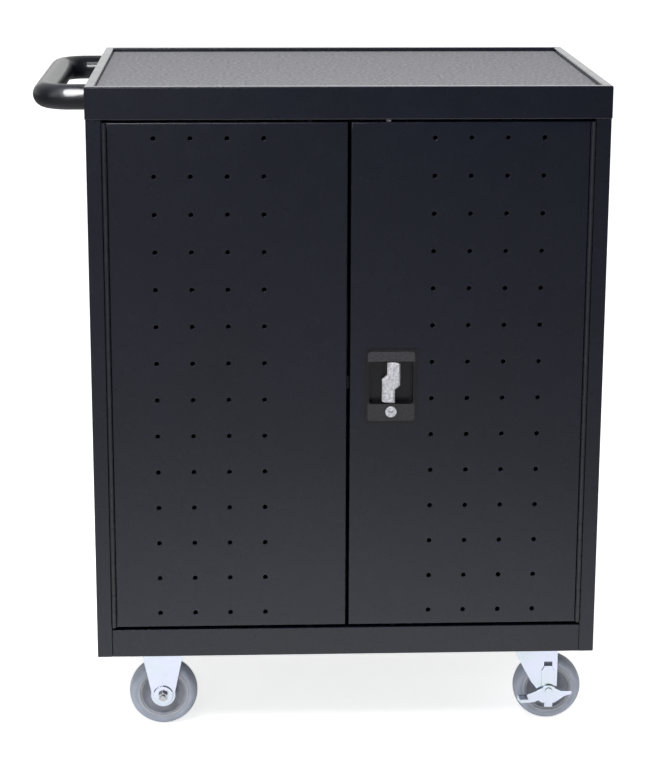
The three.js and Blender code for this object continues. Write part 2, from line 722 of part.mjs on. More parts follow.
// Right door: cut away for the lock pan
function rightDoor() {
  const z = BODY_BOTTOM + PAN_Z;
  const halfX = PAN_WIDTH / 2 - PAN_LAP + SEAT;
  const halfZ = PAN_HEIGHT / 2 - PAN_LAP + SEAT;
  const opening = block(PAN_X - halfX, PAN_X + halfX, -FACE_Y - CUT_PAST, -FACE_Y + SHEET + CUT_PAST,
    z - halfZ, z + halfZ);
  const pan = doorPan(CENTRE_GAP / 2, DOOR_X, -1);
  const holes = flangeHoles(PAN_X - ROD_OFFSET, PAN_X + ROD_OFFSET);
  return piece('right_door', cut(pan, opening, ...ventHoles(1), ...holes), paint);
}

// Heights and depths inside the lock
const TURN_AXIS_Z = BODY_BOTTOM + TURN_Z;
const PLUG_Z = TURN_AXIS_Z - PLUG_DROP;
const PAN_FRONT = -FACE_Y - PAN_PROUD;
const PAN_BACK = -FACE_Y + PAN_DEPTH;
const RECESS_FLOOR = PAN_BACK - PAN_FLOOR;
const CAM_FRONT = PAN_BACK + RUNNING;
const CAM_BACK = CAM_FRONT + CAM_SHEET;
const STRAP_FRONT = CAM_BACK + RUNNING;
const STRAP_BACK = STRAP_FRONT + STRAP_SHEET;
const CRANK_PLACE = CRANK_RADIUS * Math.SQRT1_2;
const ROD_TRAVEL = 2 * CRANK_PLACE;

// Lock pan: bezel over the door skin, a recess for the turn handle and a bore for the lock
function lockPan() {
  const z = BODY_BOTTOM + PAN_Z;
  const bezel = prism('y', roundedRectangle(PAN_WIDTH, PAN_HEIGHT, RECESS_CORNER, PAN_X, z), PAN_FRONT,
    -FACE_Y - SEAT, 1);
  const border = prism('y', roundedRectangle(PAN_WIDTH + 2 * PAN_BORDER, PAN_HEIGHT + 2 * PAN_BORDER,
    RECESS_CORNER, PAN_X, z), -FACE_Y - PAN_SHEET, -FACE_Y - SEAT, 1);
  const halfX = PAN_WIDTH / 2 - PAN_LAP;
  const halfZ = PAN_HEIGHT / 2 - PAN_LAP;
  const cup = block(PAN_X - halfX, PAN_X + halfX, PAN_FRONT + PAN_PROUD / 2, PAN_BACK, z - halfZ, z + halfZ);
  const recess = prism('y', roundedRectangle(RECESS_SIZE, RECESS_SIZE, RECESS_CORNER, PAN_X, TURN_AXIS_Z),
    PAN_FRONT - CUT_PAST, RECESS_FLOOR, 1);
  const spindleHole = bar('y', SPINDLE_SIDE * Math.SQRT1_2 + RUNNING * 2, RECESS_FLOOR - CUT_PAST,
    PAN_BACK + CUT_PAST, [PAN_X, TURN_AXIS_Z]);
  const plugHole = bar('y', PLUG_RADIUS - PLUG_LIP + RUNNING, PAN_FRONT - CUT_PAST, PAN_BACK + CUT_PAST,
    [PAN_X, PLUG_Z], ROUND_SIDES);
  return piece('lock_pan', cut(join(bezel, border, cup), recess, spindleHole, plugHole), blackPlastic);
}

// Turn handle: a cast bar stepped sideways about its middle, on a hub and a square spindle
function turnHandle() {
  const half = TURN_WIDTH / 2;
  const inner = TURN_BAR - half;
  const upper = [[half, TURN_RADIUS], [-inner, TURN_RADIUS], [-inner, TURN_STEP],
    [-half, TURN_STEP - TURN_SLOPE]];
  const lower = upper.map(([a, b]) => [-a, -b]);
  const outline = polygon([...upper, ...lower]);
  const back = RECESS_FLOOR - RUNNING;
  const front = PAN_FRONT - PLUG_PROUD / 2;
  const grip = new THREE.ExtrudeGeometry(outline, {
    depth: TURN_HEIGHT - 2 * TURN_CHAMFER,
    bevelThickness: TURN_CHAMFER,
    bevelSize: TURN_CHAMFER,
    bevelOffset: -TURN_CHAMFER,
    bevelSegments: 1,
  });
  grip.translate(0, 0, front + TURN_CHAMFER);
  const round = bar('y', TURN_RADIUS, front - CUT_PAST, front + TURN_HEIGHT + CUT_PAST, [0, 0], TURN_SIDES);
  const hub = bar('y', TURN_BAR / 2, front + TURN_HEIGHT / 2, back, [0, 0], ROUND_SIDES);
  const spindle = block(-SPINDLE_SIDE / 2, SPINDLE_SIDE / 2, back - CUT_PAST, CAM_BACK + RUNNING,
    -SPINDLE_SIDE / 2, SPINDLE_SIDE / 2);
  const cast = join(solid(turnTo('y', grip)).intersect(round), hub, spindle);
  return piece('turn_handle', cast.translate(PAN_X, 0, TURN_AXIS_Z), satinMetal);
}

// Latch cam on the spindle, with a crank pin for each rod
function latchCam() {
  const plate = bar('y', CAM_RADIUS, CAM_FRONT, CAM_BACK, [0, 0], ROUND_SIDES);
  const hole = SPINDLE_SIDE / 2 + SEAT;
  const socket = block(-hole, hole, CAM_FRONT - CUT_PAST, CAM_BACK + CUT_PAST, -hole, hole);
  const pins = [1, -1].map((end) => bar('y', CRANK_PIN, CAM_BACK - CAM_SHEET / 2, STRAP_BACK + RUNNING,
    [-end * CRANK_PLACE, end * CRANK_PLACE], ROD_SIDES));
  return piece('latch_cam', join(cut(plate, socket), ...pins).translate(PAN_X, 0, TURN_AXIS_Z), zinc);
}

// Latch rod: a round rod to the frame and a flat strap notched for its crank pin
function latchRod(name, end) {
  const at = (along) => TURN_AXIS_Z + end * along;
  const strapOut = CRANK_RADIUS + CRANK_PIN + CRANK_SLACK + STRAP_WIDTH / 2;
  const strapIn = strapOut - STRAP_WIDTH;
  const panEnd = end > 0 ? BODY_BOTTOM + PAN_Z + PAN_HEIGHT / 2 : BODY_BOTTOM + PAN_Z - PAN_HEIGHT / 2;
  const rodStart = Math.abs(panEnd - TURN_AXIS_Z) + ROD_TRAVEL + RUNNING * 4;
  const tip = end > 0 ? TRAY_BOTTOM - TIP_GAP : FLOOR_TOP + TIP_GAP;
  const across = (offset) => PAN_X - end * offset;
  const rod = bar('z', ROD_RADIUS, at(rodStart), tip, [across(ROD_OFFSET), ROD_Y], ROD_SIDES);
  const shoulder = block(across(ROD_OFFSET - ROD_RADIUS), across(strapOut), ROD_Y, STRAP_BACK, at(rodStart),
    at(rodStart + ROD_JOINT));
  const strap = block(across(strapIn), across(strapOut), STRAP_FRONT, STRAP_BACK, at(-STRAP_TAIL),
    at(rodStart + ROD_JOINT));
  const notchOut = CRANK_RADIUS + CRANK_PIN + CRANK_SLACK;
  const notchHalf = CRANK_PIN + CRANK_SLACK;
  const notch = block(across(strapIn - CUT_PAST), across(notchOut), STRAP_FRONT - CUT_PAST,
    STRAP_BACK + CUT_PAST, at(CRANK_PLACE - notchHalf), at(CRANK_PLACE + notchHalf));
  const made = cut(join(rod, shoulder, strap), notch);
  return body(name, [across(ROD_OFFSET), ROD_Y, tip], [piece(`${name}_bar`, made, zinc)]);
}

// Guide clip that holds a rod against the door skin
function rodGuide(name, end) {
  const x = PAN_X - end * ROD_OFFSET;
  const z = end > 0 ? DOOR_TOP - GUIDE_DROP : DOOR_BOTTOM + GUIDE_DROP;
  const foot = -FACE_Y + SHEET + SEAT;
  const wall = ROD_RADIUS + RUNNING + GUIDE_WALL;
  const outline = new THREE.Shape();
  outline.moveTo(x - wall - GUIDE_FOOT, foot);
  outline.lineTo(x + wall + GUIDE_FOOT, foot);
  outline.lineTo(x + wall + GUIDE_FOOT, foot + GUIDE_WALL);
  outline.lineTo(x + wall, foot + GUIDE_WALL);
  outline.absarc(x, ROD_Y, wall, 0, Math.PI);
  outline.lineTo(x - wall, foot + GUIDE_WALL);
  outline.lineTo(x - wall - GUIDE_FOOT, foot + GUIDE_WALL);
  const clip = prism('z', outline, z - GUIDE_HEIGHT / 2, z + GUIDE_HEIGHT / 2);
  const bore = bar('z', ROD_RADIUS + RUNNING, z - GUIDE_HEIGHT, z + GUIDE_HEIGHT, [x, ROD_Y], ROD_SIDES);
  return piece(name, clip.subtract(bore), blackPlastic);
}

// Key lock plug with its keyway
function lockCylinder() {
  const centre = [PAN_X, PLUG_Z];
  const face = PAN_FRONT - SEAT - PLUG_PROUD;
  const lip = bar('y', PLUG_RADIUS, face, PAN_FRONT - SEAT, centre, PLUG_SIDES);
  const barrel = bar('y', PLUG_RADIUS - PLUG_LIP, face + PLUG_PROUD / 2, PAN_BACK, centre, ROUND_SIDES);
  const keyway = block(PAN_X - KEYWAY_LENGTH / 2, PAN_X + KEYWAY_LENGTH / 2, face - CUT_PAST,
    face + KEYWAY_DEPTH, PLUG_Z - KEYWAY_WIDTH / 2, PLUG_Z + KEYWAY_WIDTH / 2);
  return piece('lock_cylinder', cut(join(lip, barrel), keyway), satinMetal);
}

// A continuous hinge: side is where the frame lies, face is -1 in front and 1 behind
function hinge(name, side, face, knuckle) {
  const x = side * HINGE_X;
  const y = face * HINGE_Y;
  const count = Math.floor((DOOR_TOP - DOOR_BOTTOM) / knuckle);
  const length = (DOOR_TOP - DOOR_BOTTOM) / count;
  const clear = BARREL_RADIUS + RUNNING;
  const leaf = (leafSide, first) => {
    const near = x + leafSide * (LEAF_SPREAD / 2);
    const far = x + leafSide * LEAF_OUTER;
    const plate = block(near, far, y, y - face * (HINGE_PROUD + LEAF_WIDTH), DOOR_BOTTOM, DOOR_TOP);
    const barrel = bar('z', BARREL_RADIUS, DOOR_BOTTOM, DOOR_TOP, [x, y], HEXAGON);
    let made = join(plate, barrel);
    for (let i = 1 - first; i < count; i += 2) {
      const z = DOOR_BOTTOM + i * length;
      made = made.subtract(block(x - leafSide * clear, far + leafSide * CUT_PAST, y - clear, y + clear,
        i === 0 ? z - CUT_PAST : z - SEAT, i === count - 1 ? z + length + CUT_PAST : z + length + SEAT));
    }
    return made.subtract(bar('z', PIN_RADIUS + RUNNING, DOOR_BOTTOM - CUT_PAST, DOOR_TOP + CUT_PAST, [x, y],
      HEXAGON));
  };
  const pin = bar('z', PIN_RADIUS, DOOR_BOTTOM, DOOR_TOP, [x, y], HEXAGON);
  return {
    axis: [x, y, DOOR_BOTTOM],
    frameLeaf: piece(`${name}_hinge_frame_leaf`, leaf(side, 0), galvanised),
    doorLeaf: piece(`${name}_hinge_door_leaf`, leaf(-side, 1), galvanised),
    pin: piece(`${name}_hinge_pin`, pin, galvanised),
  };
}

// Rear access door, vented above and below, with a bore for its cam lock
function rearDoor() {
  const freeX = -(STILE_X - FREE_GAP);
  const vents = [];
  for (const z of [DOOR_BOTTOM + VENT_MARGIN + VENT_LENGTH / 2, DOOR_TOP - VENT_MARGIN - VENT_LENGTH / 2]) {
    for (let i = 0; i < VENT_COUNT; i += 1) {
      const x = (i - (VENT_COUNT - 1) / 2) * VENT_PITCH;
      const outline = roundedRectangle(VENT_WIDTH, VENT_LENGTH, VENT_WIDTH / 2, x, z);
      vents.push(prism('y', outline, FACE_Y + CUT_PAST, FACE_Y - SHEET - CUT_PAST, 1));
    }
  }
  const bore = bar('y', REAR_LOCK_RADIUS + RUNNING, FACE_Y + CUT_PAST, FACE_Y - SHEET - CUT_PAST,
    [rearLockX(), SHELF_TOP]);
  return piece('rear_door', cut(doorPan(freeX, DOOR_X, 1), bore, ...vents), paint);
}

function rearLockX() {
  return -(STILE_X - FREE_GAP - REAR_LOCK_EDGE);
}

// Cam lock of the rear door; its cam points up when unlocked and behind the stile when locked
function rearLock() {
  const x = rearLockX();
  const camFront = FACE_Y - DOOR_DEPTH - REAR_CAM_GAP;
  const camBack = camFront - CAM_SHEET;
  const centre = [x, SHELF_TOP];
  const face = bar('y', REAR_LOCK_FACE, FACE_Y + SEAT, FACE_Y + SEAT + REAR_LOCK_PROUD, centre, ROUND_SIDES);
  const barrel = bar('y', REAR_LOCK_RADIUS, camBack, FACE_Y + SEAT + REAR_LOCK_PROUD / 2, centre);
  const outline = roundedRectangle(REAR_CAM_WIDTH, REAR_CAM_LENGTH + REAR_CAM_WIDTH / 2, REAR_CAM_CORNER,
    x, SHELF_TOP + REAR_CAM_LENGTH / 2 - REAR_CAM_WIDTH / 4);
  const cam = prism('y', outline, camBack, camFront, 1);
  const keyway = block(x - KEYWAY_WIDTH / 2, x + KEYWAY_WIDTH / 2, FACE_Y + REAR_LOCK_PROUD + CUT_PAST,
    FACE_Y + REAR_LOCK_PROUD - KEYWAY_DEPTH, SHELF_TOP - KEYWAY_LENGTH / 2, SHELF_TOP + KEYWAY_LENGTH / 2);
  return body('rear_lock', [x, FACE_Y, SHELF_TOP],
    [piece('rear_lock_cylinder', cut(join(face, barrel, cam), keyway), satinMetal)]);
}

// Caster widths from the wheel outwards
const HUB_HALF = TYRE_WIDTH / 2 + HUB_RIM_INSET;
const LEG_INSIDE = TYRE_WIDTH / 2 + FORK_GAP;
const LEG_OUTSIDE = LEG_INSIDE + FORK_SHEET;
const PLATE_BOTTOM = CASTER_HEIGHT - PLATE_SHEET;

// Tyre and hub about an axle at the given offset from the caster's middle
function wheel(name, offset) {
  const edge = TYRE_WIDTH / 2;
  const bore = HUB_RADIUS + SEAT * 2;
  const shoulder = TYRE_RADIUS - TYRE_SHOULDER;
  const half = [[bore, -edge], [shoulder, -edge], [TYRE_RADIUS, TYRE_SHOULDER - edge]];
  const tyre = turned([...half, ...half.map(([r, y]) => [r, -y]).reverse()], TYRE_SIDES);
  const rim = edge - HUB_RIM_INSET;
  const hubHalf = [[AXLE_SLEEVE + RUNNING, -HUB_HALF], [HUB_BOSS, -HUB_HALF],
    [HUB_RADIUS - 2 * HUB_RIM, -HUB_WEB / 2], [HUB_RADIUS - HUB_RIM, -rim], [HUB_RADIUS, -rim]];
  const hub = turned([...hubHalf, ...hubHalf.map(([r, y]) => [r, -y]).reverse()], ROUND_SIDES);
  const place = [offset, 0, AXLE_Z];
  return body(`${name}_wheel`, place, [
    piece(`${name}_tyre`, tyre.translate(...place), tyreRubber),
    piece(`${name}_hub`, hub.translate(...place), hubPlastic),
  ]);
}

// One end of an axle past its leg: a nut with the thread's end proud of it, or a low rivet head
function axleEnd(side, reach, riveted, centre) {
  const seat = reach + SEAT;
  const height = riveted ? RIVET_HEIGHT : AXLE_NUT_HEIGHT;
  const tip = riveted ? seat + RIVET_HEIGHT / 2 : seat + AXLE_NUT_HEIGHT + THREAD_PROUD;
  const shaft = bar('y', AXLE_RADIUS, 0, side * tip, centre, ROD_SIDES);
  const head = bar('y', riveted ? RIVET_RADIUS : AXLE_NUT, side * seat, side * (seat + height), centre,
    riveted ? ROUND_SIDES : HEXAGON);
  return shaft.add(head);
}

// Axle with a sleeve that the hub turns on
function axle(name, offset, front, rear) {
  const centre = [offset, AXLE_Z];
  const sleeve = bar('y', AXLE_SLEEVE, -LEG_INSIDE + RUNNING, LEG_INSIDE - RUNNING, centre, ROD_SIDES);
  const frontEnd = axleEnd(-1, front.reach, front.riveted, centre);
  const rearEnd = axleEnd(1, rear.reach, rear.riveted, centre);
  return piece(`${name}_axle`, join(sleeve, frontEnd, rearEnd), zinc);
}

// A leg outline copied to both sides of the wheel, with an axle hole
function forkLegs(outline, offset) {
  const legs = [-1, 1].map((end) => prism('y', outline, end * LEG_INSIDE, end * LEG_OUTSIDE,
    FORK_ARC_STEPS));
  const hole = bar('y', AXLE_RADIUS + SEAT, -2 * LEG_OUTSIDE, 2 * LEG_OUTSIDE, [offset, AXLE_Z]);
  return { legs: join(...legs), hole };
}

function mountingPlate() {
  const outline = roundedRectangle(PLATE_X, PLATE_Y, PLATE_CORNER, 0, 0);
  return prism('z', outline, PLATE_BOTTOM, CASTER_HEIGHT, 1);
}

// Rigid fork: plate and two tapered legs with a raised boss round the axle
function rigidFork(name) {
  const outline = new THREE.Shape();
  outline.moveTo(FORK_TOP_WIDTH / 2, PLATE_BOTTOM + PLATE_SHEET / 2);
  outline.lineTo(-FORK_TOP_WIDTH / 2, PLATE_BOTTOM + PLATE_SHEET / 2);
  outline.absarc(0, AXLE_Z, FORK_END_RADIUS, Math.PI - FORK_RISE, 2 * Math.PI + FORK_RISE);
  const { legs, hole } = forkLegs(outline, 0);
  return piece(`${name}_fork`, cut(join(mountingPlate(), legs, boss(-1), boss(1)), hole), zinc);
}

// A boss pressed out of a leg round the axle, with sloping sides
function boss(end) {
  const root = LEG_OUTSIDE - FORK_SHEET / 2;
  const height = LEG_OUTSIDE + FORK_BOSS_HEIGHT - root;
  const face = FORK_BOSS_RADIUS - FORK_BOSS_SLOPE;
  const radii = end > 0 ? [face, FORK_BOSS_RADIUS] : [FORK_BOSS_RADIUS, face];
  const cone = new THREE.CylinderGeometry(...radii, height, ROUND_SIDES);
  return solid(cone.translate(0, end * (root + height / 2), AXLE_Z));
}

// Swivel heights: the race hangs from the plate, the crown turns under it, the nut holds it
const RACE_BOTTOM = PLATE_BOTTOM - RACE_HEIGHT;
const CROWN_TOP = RACE_BOTTOM - RUNNING;
const CROWN_BOTTOM = CROWN_TOP - PLATE_SHEET;
const NUT_TOP = CROWN_BOTTOM - RUNNING;

// Swivel plate with its raceway, king bolt and nut
function swivelPlate(name) {
  const height = RACE_HEIGHT + PLATE_SHEET / 2;
  const race = new THREE.CylinderGeometry(RACE_NECK, RACE_RADIUS, height, ROUND_SIDES);
  race.rotateX(Math.PI / 2).translate(0, 0, RACE_BOTTOM + height / 2);
  const king = bar('z', KING_RADIUS, NUT_TOP - KING_NUT_HEIGHT / 2, PLATE_BOTTOM, [0, 0], ROD_SIDES);
  const nut = bar('z', KING_NUT, NUT_TOP - KING_NUT_HEIGHT, NUT_TOP, [0, 0], HEXAGON);
  return piece(`${name}_plate`, join(mountingPlate(), solid(race), king, nut), zinc);
}

// Swivel fork: round crown, raked legs and the slotted brake strap on its outer leg
function swivelFork(name, face) {
  const outline = new THREE.Shape();
  outline.moveTo(TRAIL + SWIVEL_LEG_FRONT, CROWN_TOP);
  outline.lineTo(TRAIL - SWIVEL_LEG_BACK, CROWN_TOP);
  outline.lineTo(TRAIL - SWIVEL_LEG_BACK, CROWN_BOTTOM - PLATE_SHEET * 2);
  outline.lineTo(TRAIL - SWIVEL_LEG_FRONT * 2, AXLE_Z + SWIVEL_LEG_FRONT);
  outline.absarc(TRAIL, AXLE_Z, SWIVEL_LEG_FRONT, SWIVEL_LEG_TURN, 2 * Math.PI);
  const { legs, hole } = forkLegs(outline, TRAIL);
  const crown = bar('z', RACE_RADIUS, CROWN_BOTTOM, CROWN_TOP, [0, 0], ROUND_SIDES);
  const bridge = block(TRAIL - SWIVEL_LEG_BACK, TRAIL + SWIVEL_LEG_FRONT, -LEG_OUTSIDE, LEG_OUTSIDE,
    CROWN_BOTTOM, CROWN_TOP);
  const kingHole = bar('z', KING_RADIUS + RUNNING, CROWN_BOTTOM - CUT_PAST, CROWN_TOP + CUT_PAST, [0, 0]);
  const strapFace = LEG_OUTSIDE + STRAP_THICKNESS;
  const slotX = TRAIL + (STRAP_RIGHT - STRAP_LEFT) / 2;
  const half = (STRAP_LEFT + STRAP_RIGHT) / 2;
  const neck = STRAP_SLOT_WIDTH / 2;
  const right = [[half, -STRAP_RIGHT], [half, STRAP_SHOULDER], [neck, STRAP_NECK], [neck, STRAP_TOP]];
  const left = right.map(([x, z]) => [-x, z]).reverse();
  const strapOutline = polygon([...right, ...left].map(([x, z]) => [slotX + x, AXLE_Z + z]));
  const strap = prism('y', strapOutline, face * (LEG_OUTSIDE - FORK_SHEET / 2), face * strapFace);
  const slotZ = AXLE_Z + STRAP_SLOT_Z;
  const slot = block(slotX - STRAP_SLOT_WIDTH / 2, slotX + STRAP_SLOT_WIDTH / 2,
    face * (LEG_INSIDE - CUT_PAST), face * (strapFace + CUT_PAST),
    slotZ - STRAP_SLOT_HEIGHT / 2, slotZ + STRAP_SLOT_HEIGHT / 2);
  return piece(`${name}_fork`, cut(join(legs, crown, bridge, strap), hole, kingHole, slot), zinc);
}

// Brake lever: a rocking plate on the axle with a pedal folded out at its toe
function brakeLever(name, face) {
  const near = LEG_OUTSIDE + STRAP_THICKNESS + RUNNING;
  const far = near + LEVER_SHEET;
  const outline = new THREE.Shape();
  const toeTop = -LEVER_TOE_DROP;
  const toeBottom = toeTop - LEVER_ARM;
  outline.moveTo(-LEVER_TOE, toeTop);
  outline.lineTo(-LEVER_TOE, toeBottom + LEVER_RAKE);
  outline.lineTo(-LEVER_TOE + LEVER_RAKE, toeBottom);
  outline.lineTo(-LEVER_NECK - LEVER_RAKE, -LEVER_NECK_DROP - LEVER_RAKE / 2);
  outline.lineTo(-LEVER_NECK, -LEVER_NECK_DROP);
  outline.lineTo(-LEVER_PLATE_WIDTH / 2, -LEVER_PLATE);
  outline.lineTo(-LEVER_TAB_WIDTH / 2, -LEVER_PLATE);
  outline.lineTo(-LEVER_TAB_WIDTH / 2, -LEVER_TAB);
  outline.lineTo(LEVER_TAB_WIDTH / 2, -LEVER_TAB);
  outline.lineTo(LEVER_TAB_WIDTH / 2, -LEVER_PLATE);
  outline.lineTo(LEVER_PLATE_WIDTH / 2, -LEVER_PLATE);
  outline.lineTo(LEVER_HEEL_ROOT, -LEVER_HEEL_WIDTH - LEVER_RAKE / 2);
  outline.lineTo(LEVER_HEEL, -LEVER_HEEL_WIDTH);
  outline.lineTo(LEVER_HEEL, 0);
  outline.lineTo(LEVER_HUB + LEVER_RAKE, 0);
  outline.absarc(0, -LEVER_SINK, LEVER_HUB, LEVER_TURN, Math.PI - LEVER_TURN);
  outline.lineTo(-LEVER_TOE + PEDAL_LENGTH, toeTop + SEAT);
  const plate = prism('y', outline, face * near, face * far);
  const pedal = block(-LEVER_TOE + LEVER_SHEET / 2, -LEVER_TOE + PEDAL_LENGTH, face * (near + far) / 2,
    face * (far + PEDAL_REACH), toeTop - SEAT - LEVER_SHEET, toeTop - SEAT);
  const hole = bar('y', AXLE_RADIUS + SEAT, face * (near - CUT_PAST), face * (far + CUT_PAST), [0, 0]);
  const made = cut(join(plate, pedal), hole).translate(TRAIL, 0, AXLE_Z);
  return body(`${name}_brake`, [TRAIL, face * near, AXLE_Z], [piece(`${name}_brake_lever`, made, zinc)]);
}

function rigidCaster(name, y) {
  const end = { reach: LEG_OUTSIDE + FORK_BOSS_HEIGHT, riveted: false };
  const group = new THREE.Group();
  group.position.set(-CASTER_X, y, 0);
  group.add(rigidFork(name), axle(name, 0, end, end), wheel(name, 0));
  return group;
}

function swivelCaster(name, y, face) {
  const braked = { reach: LEG_OUTSIDE + STRAP_THICKNESS + RUNNING + LEVER_SHEET, riveted: true };
  const plain = { reach: LEG_OUTSIDE, riveted: false };
  const group = new THREE.Group();
  group.position.set(CASTER_X, y, 0);
  const swivel = body(`${name}_swivel`, [0, 0, CROWN_TOP], [
    swivelFork(name, face),
    axle(name, TRAIL, face < 0 ? braked : plain, face < 0 ? plain : braked),
    wheel(name, TRAIL),
    brakeLever(name, face),
  ]);
  group.add(swivelPlate(name), swivel);
  return group;
}

// The whole cart, set with the middle of its footprint at the origin
function chargingCart() {
  const cart = new THREE.Group();
  const left = hinge('left', -1, -1, KNUCKLE_LENGTH);
  const right = hinge('right', 1, -1, KNUCKLE_LENGTH);
  const rear = hinge('rear', 1, 1, REAR_KNUCKLE_LENGTH);
  cart.add(
    topTray(),
    topMat(),
    sidePanel('left_side_panel', -1),
    sidePanel('right_side_panel', 1),
    basePan(),
    casterChannel('left_caster_channel', -1),
    casterChannel('right_caster_channel', 1),
    middleShelf(),
    backPartition(),
    cordGrommet(),
    pushHandle(),
  );
  for (const [tier, floor] of TIERS) {
    cart.add(dividerRack(`${tier}_divider_rack`, floor));
    cart.add(powerStrip(`${tier}_power_strip`, floor));
    cart.add(powerSwitch(tier, floor));
  }
  for (const { frameLeaf, pin } of [left, right, rear]) {
    cart.add(frameLeaf, pin);
  }
  cart.add(body('left_door_swing', left.axis, [
    leftDoor(),
    left.doorLeaf,
    slideBolt('left_top_bolt', 1),
    slideBolt('left_bottom_bolt', -1),
  ]));
  cart.add(body('right_door_swing', right.axis, [
    rightDoor(),
    right.doorLeaf,
    lockPan(),
    rodGuide('top_rod_guide', 1),
    rodGuide('bottom_rod_guide', -1),
    body('handle_turn', [PAN_X, PAN_FRONT, TURN_AXIS_Z], [turnHandle(), latchCam()]),
    body('key_turn', [PAN_X, PAN_FRONT, PLUG_Z], [lockCylinder()]),
    latchRod('top_latch_rod', 1),
    latchRod('bottom_latch_rod', -1),
  ]));
  cart.add(body('rear_door_swing', rear.axis, [rearDoor(), rear.doorLeaf, rearLock()]));
  cart.add(rigidCaster('front_left_caster', -CASTER_Y));
  cart.add(rigidCaster('rear_left_caster', CASTER_Y));
  cart.add(swivelCaster('front_right_caster', -CASTER_Y, -1));
  cart.add(swivelCaster('rear_right_caster', CASTER_Y, 1));
  const middle = new THREE.Box3().setFromObject(cart, true).getCenter(new THREE.Vector3());
  cart.position.set(-middle.x, -middle.y, 0);
  return cart;
}

export default chargingCart();
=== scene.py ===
"""Looks of a laptop charging cart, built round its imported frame.

Metres, z up from the floor, the front doors towards -y and the push handle towards -x.
"""
import math

import bmesh
import bpy
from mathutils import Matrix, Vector


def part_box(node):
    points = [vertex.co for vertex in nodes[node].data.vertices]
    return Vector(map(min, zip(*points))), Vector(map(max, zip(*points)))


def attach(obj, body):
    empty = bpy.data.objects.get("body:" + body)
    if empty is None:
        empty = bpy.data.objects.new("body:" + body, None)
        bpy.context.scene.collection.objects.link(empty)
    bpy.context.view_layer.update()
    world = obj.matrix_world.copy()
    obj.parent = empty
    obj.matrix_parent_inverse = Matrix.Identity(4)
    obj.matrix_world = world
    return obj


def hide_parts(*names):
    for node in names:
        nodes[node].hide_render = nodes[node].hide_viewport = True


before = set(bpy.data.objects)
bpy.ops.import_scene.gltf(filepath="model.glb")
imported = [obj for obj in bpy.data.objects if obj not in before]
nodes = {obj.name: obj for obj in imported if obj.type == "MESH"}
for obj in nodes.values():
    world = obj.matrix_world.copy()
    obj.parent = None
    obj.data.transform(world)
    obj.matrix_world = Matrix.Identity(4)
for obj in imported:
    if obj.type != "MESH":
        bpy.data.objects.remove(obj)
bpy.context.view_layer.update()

MM = 0.001

# Camera, fitted to the photograph
CAMERA_PLACE = (-0.1078, -3.0265, 1.3318)
CAMERA_TURN = (76.771, -0.191, -2.331)
CAMERA_LENS = 96.15
CAMERA_SHIFT = -0.12

# Half a step round a circle, which keeps its points off the middle lines
HALF_STEP = 0.5

# Sheet metal
SHEET = 1.2 * MM
FOLD = 2.0 * MM
FOLD_STEPS = 4
LEAST_CORNER = 0.2 * MM
TRAY_CORNER = 2.6 * MM
TRAY_LIP = 18 * MM
RIM_WIDTH = 13 * MM
RIM_DEPTH = 9 * MM
STILE_WIDTH = 22 * MM
STILE_RETURN = 16 * MM
DOOR_LIP = 12 * MM

# Vent holes of the front doors
HOLE_RADIUS = 3.2 * MM
HOLE_SIDES = 20
HOLE_COLUMNS = 4
HOLE_ROWS = 14
HOLE_PITCH_X = 50.8 * MM
HOLE_PITCH_Z = 53.6 * MM
HOLE_EDGE = 64.2 * MM
HOLE_CELL = 8 * MM
HOLE_EASE = 0.8 * MM

# Opening for the lock pan, tabs of the slide bolts, bushes and strike cups
PAN_LAP = 1.25 * MM
PAN_BORDER = 4 * MM
BOLT_TAB = 20 * MM
BOLT_TAB_DROP = 26 * MM
BOLT_CLEARANCE = 0.4 * MM
BUSH_GAP = 0.2 * MM
BUSH_WALL = 1.4 * MM
BUSH_DROP = 3.4 * MM
BUSH_RISE = 3.0 * MM
STRIKE_GAP = 0.9 * MM
STRIKE_WALL = 1.5 * MM
STRIKE_DEPTH = 16 * MM

# Rear door
VENT_COUNT = 8
VENT_PITCH = 64 * MM
VENT_WIDTH = 5 * MM
VENT_LENGTH = 60 * MM
VENT_MARGIN = 24 * MM
VENT_CELL = 7 * MM
REAR_BORE = 8.4 * MM
REAR_BORE_CELL = 12 * MM

# Round ends of slots: their steps, and the share of a step left out at both sides
SLOT_STEPS = 6
SLOT_TRIM = 0.01

# Hinges
KNUCKLE = 25.4 * MM
KNUCKLE_GAP = 0.35 * MM
KNUCKLE_RADIUS = 2.6 * MM
KNUCKLE_SIDES = 18
KNUCKLE_ROUND = 0.4 * MM
LEAF_SHEET = 1.1 * MM
LEAF_ROUND = 0.3 * MM

# Push handle
GRIP_BEND = 38 * MM
GRIP_SIDES = 48
GRIP_BEND_STEPS = 14
GRIP_STRAIGHT_STEPS = 8

# Wheels, with turns and sweeps in degrees and the reach of the bead's tone as a share of the tyre's box
WHEEL_SIDES = 96
WHEEL_SHARP = 50
BEAD_SWEEP = (180, 340)
BEAD_STEPS = 6
WALL_SWEEP = (270, 360)
WALL_STEPS = 10
DISH_SWEEP = (90, 0)
DISH_STEPS = 10
TYRE_SEAT = 34.0 * MM
BEAD = 1.9 * MM
WALL_START = 41.0 * MM
TREAD_HALF = 2.0 * MM
BEAD_SHARE = 0.372
HUB_BORE = 6.5 * MM
BOSS_RADIUS = 10.6 * MM
BOSS_FACE = 17.3 * MM
DISH_START = 13.0 * MM
DISH_END = 31.5 * MM
DISH_FACE = 5.5 * MM
HUB_RIM = 33.7 * MM
HUB_FACE = 14.5 * MM

# Lock pan: how deep its raised face goes and where its recess lies, as shares of its box, and how
# far the band below the recess leans to its tone, which is painted shade for the less light it gets
LOCK_FACE = 0.03
LOCK_LOW = 0.26
LOCK_HIGH = 0.83
LOCK_LOW_PAINTED_SHADE = 0.35

